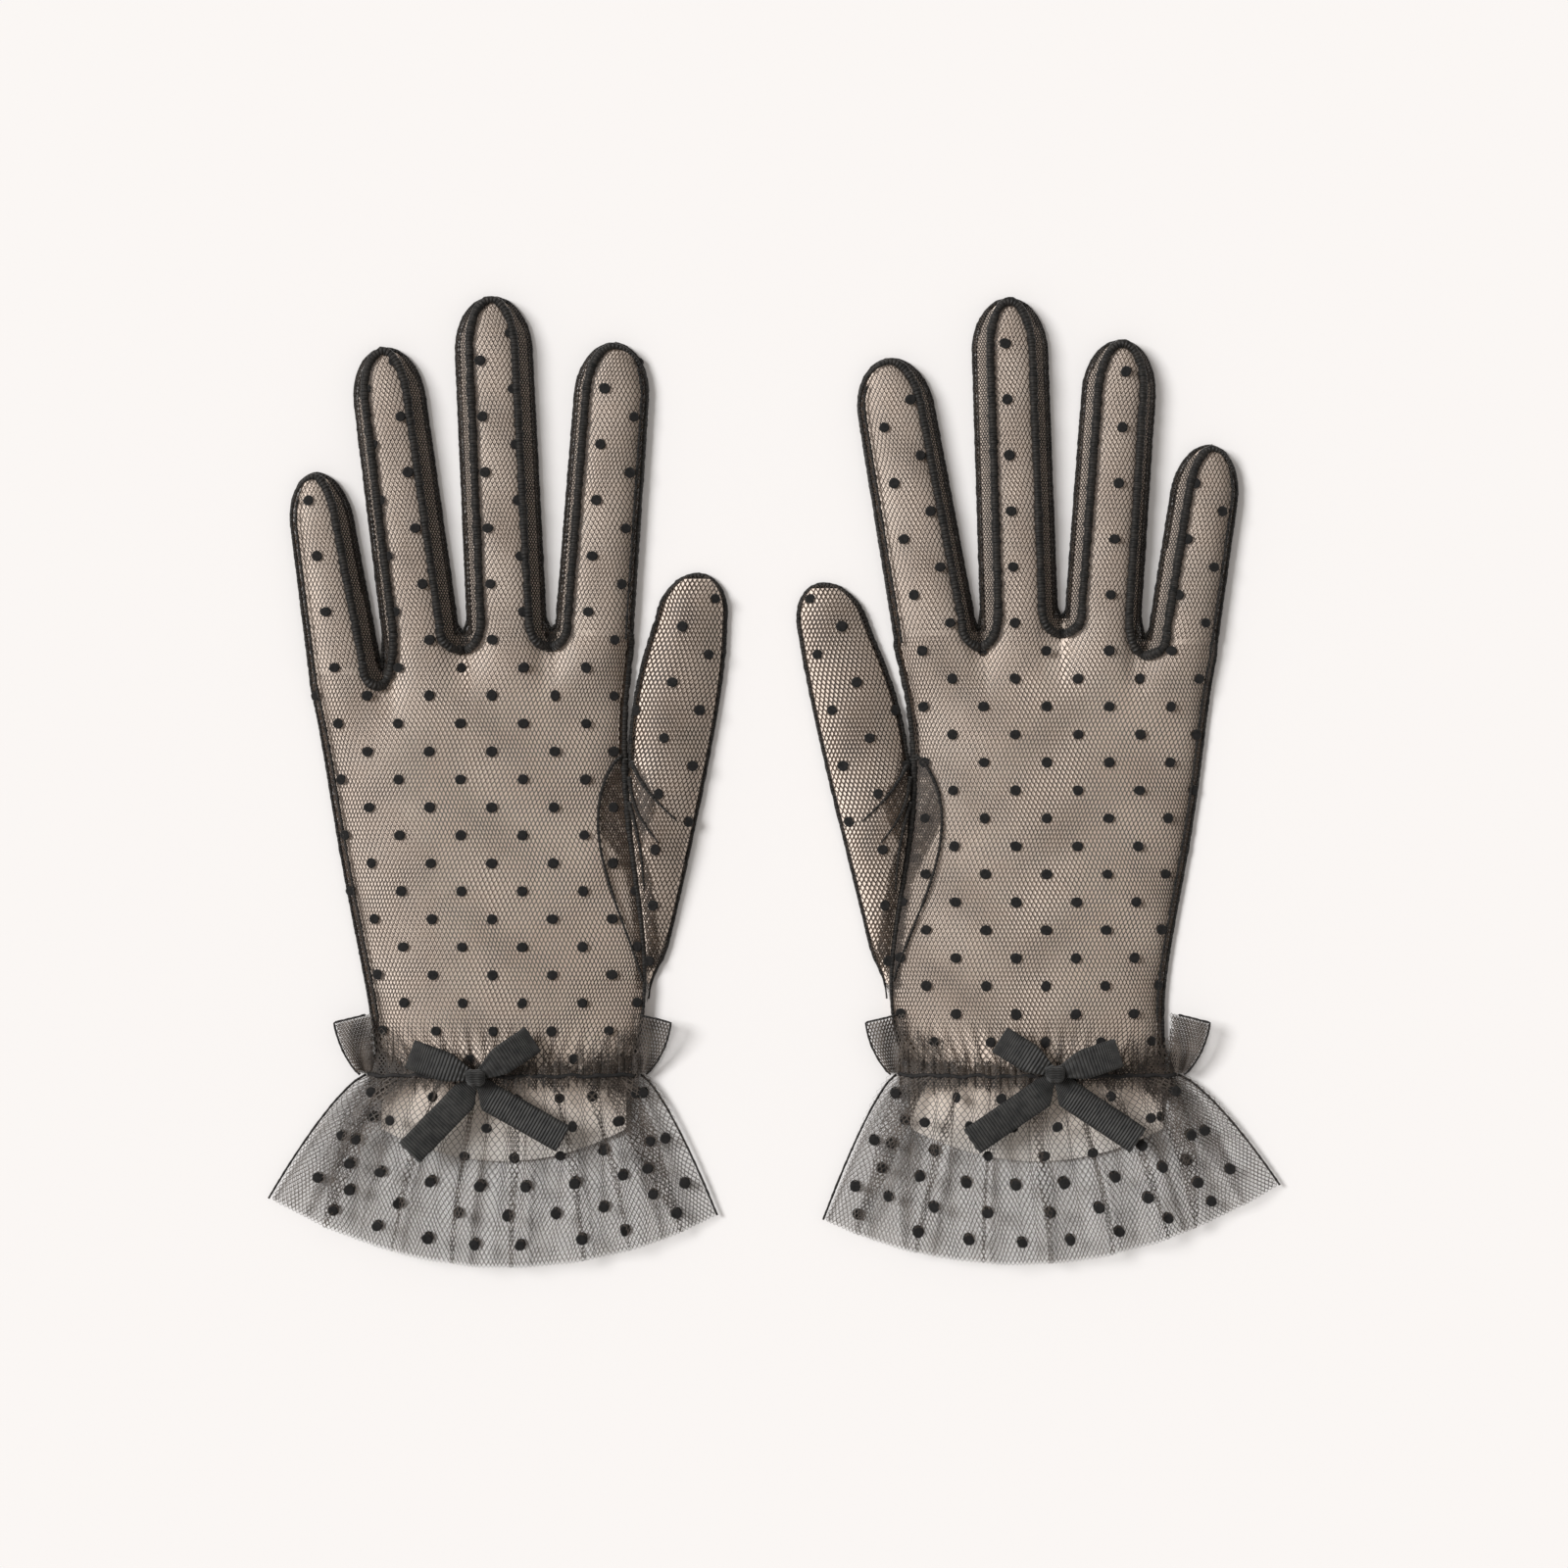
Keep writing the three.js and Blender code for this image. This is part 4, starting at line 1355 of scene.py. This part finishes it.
for glove in gloves:
    for down, panel, height, seed in ((False, "back", back_height, 200), (True, "front", palm_height, 100)):
        for f in glove["fingers"]:
            bm = finger_dots(glove, f, height, seed, down)
            piece = make_piece(bm, glove, f"{f['name']}_{panel}_dots", FLOCK, "dotted_tulle")
            bend_with_finger(piece, glove, f)
        bm = hand_dots(glove, height, seed + 1, down)
        on_hand(bm, glove, "palm_dots" if down else "hand_dots", FLOCK, "dotted_tulle")
        bm = thumb_dots(glove, seed + 2, down)
        piece = make_piece(bm, glove, f"thumb_{panel}_dots", FLOCK, "dotted_tulle")
        bend_with_thumb(piece, glove)


# %% [markdown]
# ## The flounce
# The flounce is one long strip of dotted net, drawn up on the elastic and left raw at the hem.
# It is laid in plan as a fan. Its cloth is wider than the fan, and the spare width goes into
# folds that turn back on themselves: a fold is three runs of cloth, forward, back and forward,
# and the map from the strip to the fan has the same three runs.

# %% The plan of the flounce
STRIP_WIDTH = 150.0     # half of the cut strip, one side of the glove
STRIP_DROP = 50.0       # from elastic to hem
TOP_THREAD = 0.18
UNDER_THREAD = 0.09     # the under side is pulled flat, which thins its threads
WAIST_EDGE = 2.6        # height of the drawn-in cloth at the sides of the wrist
HEM_TOP = 5.2           # height of the top layer along the hem
CRIMP = 5.2             # the crimps at the elastic lie about this far apart
FOLDS = {  # each fold: where its edge leaves the waist, where it meets the hem, its width at each
    "left": [(0.05, 0.12, 0.13, 0.012), (0.27, 0.27, 0.035, 0.008), (0.40, 0.405, 0.03, 0.012),
             (0.53, 0.54, 0.035, 0.014), (0.68, 0.70, 0.03, 0.012), (0.79, 0.80, 0.04, 0.006),
             (0.96, 0.925, -0.13, -0.012)],
    "right": [(0.06, 0.18, 0.12, 0.012), (0.25, 0.24, 0.035, 0.010), (0.37, 0.36, 0.03, 0.012),
              (0.50, 0.50, 0.035, 0.014), (0.63, 0.65, 0.03, 0.008), (0.76, 0.79, 0.035, 0.012),
              (0.97, 0.93, -0.12, -0.012)],
}


def fold_knots(glove, v):
    """Knots of the map from cloth to plan at share v of the drop, with the height of each run."""
    plan, height = [0.0], [0.0]
    for waist, hem, wide, narrow in FOLDS[glove["side"]]:
        edge = lerp(waist, hem, v)
        size = lerp(wide, narrow, min(1.0, v * 1.05) ** 0.8)
        first, back = (edge + size, edge) if wide > 0 else (edge, edge + size)
        plan += [first, back, first + 0.01]
        height += [0.0, 0.5, 1.0]
    return plan + [1.0], height + [0.0]


def cloth_knots(plan):
    """The same knots along the cloth: each run takes its own length of it."""
    run = np.concatenate([[0], np.cumsum(np.abs(np.diff(plan)))])
    return run / run[-1]


def fan(glove, share, v):
    """A place on the fan, from 0 to 1 across and from the elastic to the hem."""
    left, right, lowest = glove["hem"]
    a = 2 * share - 1
    start, end = glove["waist"]
    x = lerp(lerp(start, end, share), lerp(left.x, right.x, share), v ** 0.75)
    corner = lerp(left.y, right.y, share)
    drop = (left.y + right.y) / 2 - lowest
    hem_y = corner - drop * (1 - a * a)
    return x, lerp(glove["wrist_y"], hem_y, v)


def waist_height(glove, x):
    """Height of the drawn-in cloth along the elastic."""
    start, end = glove["waist"]
    share = min(1.0, max(0.0, (x - start) / (end - start)))
    return lerp(WAIST_EDGE, glove["cuff_top"] * LOFT, lens(2 * share - 1))


def flounce_spot(glove, x, y, under):
    """Where a point of the flat strip comes to lie: x along the strip, y from 0 down to the hem."""
    v = min(1.0, max(0.0, -y / STRIP_DROP))
    s = min(1.0, max(0.0, x / STRIP_WIDTH + 0.5))
    if under:
        s = 1 - s
    plan, heights = fold_knots(glove, v)
    knots = cloth_knots(plan)
    share = float(np.interp(s, knots, plan))
    rise = float(np.interp(s, knots, heights))
    share = min(1.0, max(0.0, 1 - share if under else share))
    gather = (1 - v) ** 1.6
    seed = 3.0 + glove["sign"] + (2 if under else 0)
    px, py = fan(glove, share, v)
    px += (1.1 * gather + 0.2) * ripple(x, CRIMP, seed) + 0.5 * math.sin(py / 9 + x / 17)
    edge = lens(2 * share - 1)
    top = lerp(glove["cuff_top"] * LOFT, HEM_TOP, v ** 0.8)
    wave = (0.8 * gather + 0.2) * ripple(x, CRIMP, seed + 1.5) + 1.5 * v * ripple(x, 17, seed)
    if under:
        return Vector((px, py, 0.7 + 0.35 * rise + 0.3 * (1 + ripple(x, 7, seed)) * edge))
    z = lerp(2.2, top, edge) + (wave + rise) * min(1.0, edge * 1.4)
    return Vector((px, py, max(1.8, z)))


def flounce_edge(glove, share):
    """The folded side of the flounce, from the elastic down to the corner of the hem."""
    return [Vector((*fan(glove, share, v), lerp(2.4, 1.6, v))) for v in np.linspace(0, 1, 20)]


def flounce_net(glove, under):
    def keep(x, y):
        return abs(x) < STRIP_WIDTH / 2 and -STRIP_DROP < y < 0.5

    def place(x, y):
        return flounce_spot(glove, x, y, under)

    half = STRIP_WIDTH / 2
    thread = UNDER_THREAD if under else TOP_THREAD
    return lay_net((-half, -STRIP_DROP), (half, 1), keep, place, thread=thread, down=under)


# %% [markdown]
# ## The heading
# Above the elastic the strip ends in a narrow heading. It stands out as a frilled ear at each
# side of the wrist, and over the back of the hand it lies down as a row of thin pleats, each of
# its own length.

# %% The pleats of the heading
HEADING = 17.0        # its full depth, at the ears
PLEAT_PITCH = 4.4


def heading_spot(glove, x, y):
    s = min(1.0, max(0.0, x / STRIP_WIDTH + 0.5))
    seed = 6.0 + glove["sign"]
    start, end = glove["waist"]
    px = lerp(start + 0.5, end - 0.5, s) + 0.9 * ripple(x, PLEAT_PITCH, seed)
    py = glove["wrist_y"] + y * 0.92
    inside = min(end - 1, max(start + 1, px))
    wave = 0.5 * ripple(x, PLEAT_PITCH, seed + 1.5)
    return Vector((px, py, back_height(glove, inside, py) + 0.75 + wave))


def heading_net(glove):
    def keep(x, y):
        side = abs(2 * x / STRIP_WIDTH)
        pleat = 4.5 + 4.0 * ripple(x, 6.5, 2.0 + glove["sign"]) + 8.0 * smooth((side - 0.5) / 0.45)
        return side < 1 and 0 < y < min(HEADING, pleat)

    half = STRIP_WIDTH / 2
    return lay_net((-half, 0), (half, HEADING), keep, lambda x, y: heading_spot(glove, x, y))


def gather_band(glove):
    """The crushed cloth right at the elastic, many layers deep; its darker thread colour is painted shade
    in the folds.
    """
    def keep(x, y):
        side = abs(2 * x / STRIP_WIDTH)
        reach = 3.2 + 1.8 * ripple(x, 3.7, glove["sign"]) + 3.0 * smooth((side - 0.6) / 0.35)
        return side < 1 and abs(y) < reach

    def place(x, y):
        spot = heading_spot(glove, x, y)
        over = waist_height(glove, spot.x) + 0.5 - 0.3 * max(0.0, y)
        return Vector((spot.x, spot.y, max(spot.z + 0.25, over)))

    half = STRIP_WIDTH / 2
    return lay_net((-half, -8), (half, 8), keep, place, size=0.7, thread=0.36)


# %% The ears of the heading
EAR_CLOTH = 12.0      # width of cloth in an ear, gathered into its foot
EAR_WIDTH = 8.6       # how far an ear stands out past the wrist


def ear_spot(glove, end, a, y, under):
    """A place on the ear at share a across it and y above the elastic."""
    sign = -1 if end == 0 else 1
    u = min(1.0, max(0.0, y / HEADING))
    width = 1.5 + (EAR_WIDTH - 1.5) * math.sin(1.35 * u ** 0.8)
    foot = glove["waist"][end] - sign * 2.2
    px = foot + sign * (width + 2.2) * a
    py = glove["wrist_y"] + y - 2.6 * a * u
    curl = 1.0 * math.sin(a * 9 + u * 3 + sign + glove["sign"])
    lift = (1.4 if under else 3.4 + 2.6 * u) + curl * (0.4 if under else 0.8)
    return Vector((px, py, lift))


def ear_net(glove, end, under):
    def keep(x, y):
        return 0 < x < EAR_CLOTH and 0 < y < HEADING

    def place(x, y):
        a = min(1.0, max(0.0, x / EAR_CLOTH))
        return ear_spot(glove, end, a, min(HEADING, y), under)

    return lay_net((0, 0), (EAR_CLOTH, HEADING), keep, place, size=0.92, down=under)


def joined(layers):
    """Several layers of net as one piece."""
    bm = bmesh.new()
    for layer in layers:
        mesh = bpy.data.meshes.new("layer")
        layer.to_mesh(mesh)
        layer.free()
        bm.from_mesh(mesh)
        bpy.data.meshes.remove(mesh)
    return bm


def ear_rim(glove, end):
    """The dark edge of an ear: up its outer side and back along its top."""
    side = [ear_spot(glove, end, 1.0, y, False) for y in np.linspace(0, HEADING, 14)]
    top = [ear_spot(glove, end, a, HEADING, False) for a in np.linspace(0.95, 0.2, 8)]
    return side + top


# %% Lay the flounce and its dots
def flounce_dots(glove, under):
    half = STRIP_WIDTH / 2

    def keep(x, y):
        return abs(x) < half - 1 and -STRIP_DROP + 1 < y < -2

    def place(x, y):
        spot = flounce_spot(glove, x, y, False)
        return Vector((spot.x, spot.y, 0.9)) if under else spot

    return cover_with_dots((-half, -STRIP_DROP), (half, 0), (2.0, -6.0), keep, place, 300, under)


for glove in gloves:
    layers = joined([flounce_net(glove, False), flounce_net(glove, True)])
    on_hand(layers, glove, "flounce_net", CUFF_NET, "flounce_tulle", "flounce")
    for under, word in ((False, "top"), (True, "under")):
        on_hand(flounce_dots(glove, under), glove, f"flounce_{word}_dots", FLOCK, "flounce_tulle")
    on_hand(heading_net(glove), glove, "heading_pleats", CUFF_NET, "flounce_tulle")
    on_hand(gather_band(glove), glove, "heading_gathers", SHADED_NET, "flounce_tulle")
    ears = joined([ear_net(glove, end, under) for end in (0, 1) for under in (False, True)])
    on_hand(ears, glove, "heading_ears", CUFF_NET, "flounce_tulle")
    seams = []
    for end in (0, 1):
        seams += [(ear_rim(glove, end), 0.3, 70 + end), (flounce_edge(glove, end), 0.32, 72 + end)]
    on_hand(sewn(seams), glove, "flounce_edges", SEAM, "flounce_tulle", shade=True)


# %% [markdown]
# ## Elastic, bow and knot
# The elastic shows as a dark twisted line where the cloth is drawn in. The bow is one ribbon: two
# flat loops pinched under a knot, and two tails cut square. A ribbon is a flat grid set along
# its path and given its thickness; the loops are grids that go out and come back underneath.

# %% The elastic
def elastic_path(glove):
    start, end = glove["waist"]
    top = []
    for x in np.linspace(start + 1, end - 1, 60):
        y = glove["wrist_y"] + 0.35 * ripple(x, 7, 1.0)
        top.append(Vector((x, y, waist_height(glove, x) + 0.9)))
    under = [Vector((p.x, glove["wrist_y"], 0.9)) for p in top[::-1]]
    return top + under + top[:1]


for glove in gloves:
    bm = sewn([(elastic_path(glove), 0.55, 60, 0.3)])
    on_hand(bm, glove, "elastic_line", CORD, "elastic", "wrist_elastic", True)


# %% Ribbon made from a flat grid
RIBBON_THICKNESS = 0.35
RIBBON_EASE = 1.16   # the ribbon lies a little wider than the room it is given


def ribbon(rows, columns, width, length, place):
    """A strip of ribbon; place(u, v) sets it, with u across and v along, each from 0 to 1."""
    bm = bmesh.new()
    uv = bm.loops.layers.uv.verify()
    bmesh.ops.create_grid(bm, x_segments=columns, y_segments=rows, size=0.5)
    for face in bm.faces:
        for loop in face.loops:
            loop[uv].uv = ((loop.vert.co.x + 0.5) * width, (loop.vert.co.y + 0.5) * length)
    for corner in bm.verts:
        corner.co = place(corner.co.x + 0.5, corner.co.y + 0.5)
    bmesh.ops.solidify(bm, geom=bm.faces, thickness=RIBBON_THICKNESS)
    bmesh.ops.recalc_face_normals(bm, faces=bm.faces)
    return bm


def read_bow(glove):
    """The bow's middle, the far ends of its loops, the ribbon's width and its lowest point."""
    knot, loops = node_points(glove, "bow_knot"), node_points(glove, "bow_loops")
    ends, width = [], 0.0
    for extreme in (loops[:, 0].min(), loops[:, 0].max()):
        near = loops[np.abs(loops[:, 0] - extreme) < 0.8][:, 1]
        ends.append(Vector((extreme, (near.min() + near.max()) / 2)))
        width = float(np.ptp(near)) * RIBBON_EASE
    centre = (knot.min(0) + knot.max(0)) / 2
    return {"centre": Vector(centre), "ends": ends, "width": width, "low": float(loops[:, 2].min())}


def loop_place(bow, end):
    start = Vector(bow["centre"][:2])
    reach = (end - start).length
    along = (end - start).normalized()
    across = Vector((-along.y, along.x))

    def place(u, v):
        out = 1 - abs(2 * v - 1) ** 1.6
        pinch = 0.36 + 0.64 * smooth(out / 0.5)
        middle = start + along * (reach * out)
        flat = middle + across * ((u - 0.5) * bow["width"] * pinch)
        belly = 1.5 * math.sin(math.pi * min(1, out * 1.02)) ** 0.8
        z = bow["low"] + 1.5 + (0.55 + belly if v < 0.5 else -0.2) * min(1, (1 - out) * 14 + 0.15)
        crease = 0.45 * math.cos((u - 0.5) * 9) * (1 - smooth(out / 0.6))
        return Vector((flat.x, flat.y, z + crease + 0.3 * (u - 0.5)))
    return place, reach


# %% Loops, tails and knot
def tail_place(glove, bow, word):
    joint = next(j for j in frame["joints"] if j["name"] == f"{glove['side']}_tail_{word}_lift")
    tail = node_points(glove, f"bow_tail_{word}")
    hinge = Vector(((joint["pos_m"][0] / MM - glove["centre"]) * glove["sign"], joint["pos_m"][1] / MM))
    centre = Vector(bow["centre"][:2])
    far = np.linalg.norm(tail[:, :2] - np.array(hinge), axis=1)
    tip = tail[far > far.max() - 4]
    end = Vector((tip[:, 0].min() + tip[:, 0].max(), tip[:, 1].min() + tip[:, 1].max())) / 2
    along = (end - hinge).normalized()
    across = Vector((-along.y, along.x))
    start = centre + (hinge - centre) * 0.25
    length = (end - start).length + 1.0
    end = end + along * 1.6
    noise = random.Random(7)
    fray = [noise.uniform(-0.25, 0.25) for _ in range(9)]

    def place(u, v):
        bend = smooth(v / 0.25)
        middle = start.lerp(hinge, min(1, v * 4)) if v < 0.25 else hinge.lerp(end, (v - 0.25) / 0.75)
        wide = bow["width"] * lerp(0.45, 1.0, bend)
        point = middle + across * ((u - 0.5) * wide)
        if v == 1:
            point += along * fray[round(u * 8)]
        z = lerp(bow["low"] + 0.3, bow["low"] - 2.2, smooth((v - 0.1) * 1.1))
        z += 0.35 * math.sin(v * 9) * v + 0.2 * math.cos((u - 0.5) * 5)
        return Vector((point.x, point.y, z))
    return place, length, hinge, end


def knot_shape(bow):
    """The ribbon wrapped once round the middle; its ends go in between the loops."""
    bm = bmesh.new()
    turned = Matrix.Rotation(math.pi / 2, 4, "Y")
    bmesh.ops.create_uvsphere(bm, u_segments=32, v_segments=20, radius=1, matrix=turned, calc_uvs=True)
    half = Vector((2.7, 2.5, 2.1))  # the knot's half sizes
    for corner in bm.verts:
        x, y, z = (math.copysign(abs(k) ** 0.7, k) for k in corner.co)
        crease = 1 - 0.07 * (1 + math.cos(7 * x + 0.8 * y)) * (1 - abs(x))
        corner.co = Vector((x * half.x * (1 + 0.10 * y), y * half.y * crease, z * half.z * crease))
    uv = bm.loops.layers.uv.verify()
    for face in bm.faces:
        for loop in face.loops:
            turn = math.atan2(loop.vert.co.z, loop.vert.co.y)
            loop[uv].uv = (loop.vert.co.x, turn * 2.4)
    bmesh.ops.translate(bm, verts=bm.verts, vec=bow["centre"])
    return bm


for glove in gloves:
    side, bow = glove["side"], read_bow(glove)
    for end, word, node in zip(bow["ends"], ("out", "in"), ("bow_loops", None)):
        place, reach = loop_place(bow, end)
        bm = ribbon(40, 8, bow["width"], 2 * reach, place)
        on_hand(bm, glove, f"bow_loop_{word}", SATIN, "ribbon", node, True)
    for word in ("out", "in"):
        place, length, hinge, end = tail_place(glove, bow, word)
        bm, name = ribbon(32, 8, bow["width"], length, place), f"bow_tail_{word}"
        piece = make_piece(bm, glove, f"{name}_ribbon", SATIN, "ribbon", name, True)
        near, far = (world(glove, *hinge.lerp(end, share)) for share in (0.02, 0.25))
        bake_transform(piece)
    on_hand(knot_shape(bow), glove, "bow_knot_ribbon", SATIN, "ribbon", "bow_knot", True)
    print(side, "bow", [round(k, 1) for k in (*bow["centre"], bow["width"], bow["low"])])


# %% [markdown]


# %% [markdown]
# ## Stage, light and camera
# The gloves lie on a plain cream surface under a large soft light from the upper left, so the
# shadows fall to the right and are soft. The camera looks straight down from far away.

# %% Stage
def stage_finish():
    material = bpy.data.materials.new("plain_cream")
    material.use_nodes = True
    shader = material.node_tree.nodes["Principled BSDF"]
    shader.inputs["Base Color"].default_value = (0.855, 0.838, 0.832, 1)
    shader.inputs["Roughness"].default_value = 0.9
    shader.inputs["Specular IOR Level"].default_value = 0.1
    return material


bm = bmesh.new()
bmesh.ops.create_grid(bm, x_segments=1, y_segments=1, size=2.5)
floor_mesh = bpy.data.meshes.new("floor")
bm.to_mesh(floor_mesh)
bm.free()
floor = bpy.data.objects.new("floor", floor_mesh)
bpy.context.scene.collection.objects.link(floor)
floor_mesh.materials.append(stage_finish())

# %% Light
world_light = bpy.data.worlds.new("studio")
bpy.context.scene.world = world_light
world_light.use_nodes = True
world_light.node_tree.nodes["Background"].inputs["Color"].default_value = (1, 0.955, 0.91, 1)
world_light.node_tree.nodes["Background"].inputs["Strength"].default_value = 0.425
key = bpy.data.lights.new("key", "SUN")
key.energy = 3.2
key.angle = math.radians(24)
key_lamp = bpy.data.objects.new("key", key)
bpy.context.scene.collection.objects.link(key_lamp)
key_lamp.rotation_euler = Vector((-0.98, 0.38, 1.0)).to_track_quat("Z", "Y").to_euler()
bpy.context.scene.view_settings.view_transform = "Standard"

# %% Camera
VIEW_WIDTH = 0.432
VIEW_HEIGHT = 1.15
lens_body = bpy.data.cameras.new("camera")
lens_body.sensor_width = 36
lens_body.lens = 36 * VIEW_HEIGHT / VIEW_WIDTH
camera = bpy.data.objects.new("camera", lens_body)
bpy.context.scene.collection.objects.link(camera)
camera.location = (0.0027, -0.0009, VIEW_HEIGHT)
bpy.context.scene.camera = camera

# %% Sizes
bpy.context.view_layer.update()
counts = [(triangles(p), p.name) for p in pieces.values()]
print("pieces", len(pieces), "triangles", sum(n for n, _ in counts), "largest", max(counts))
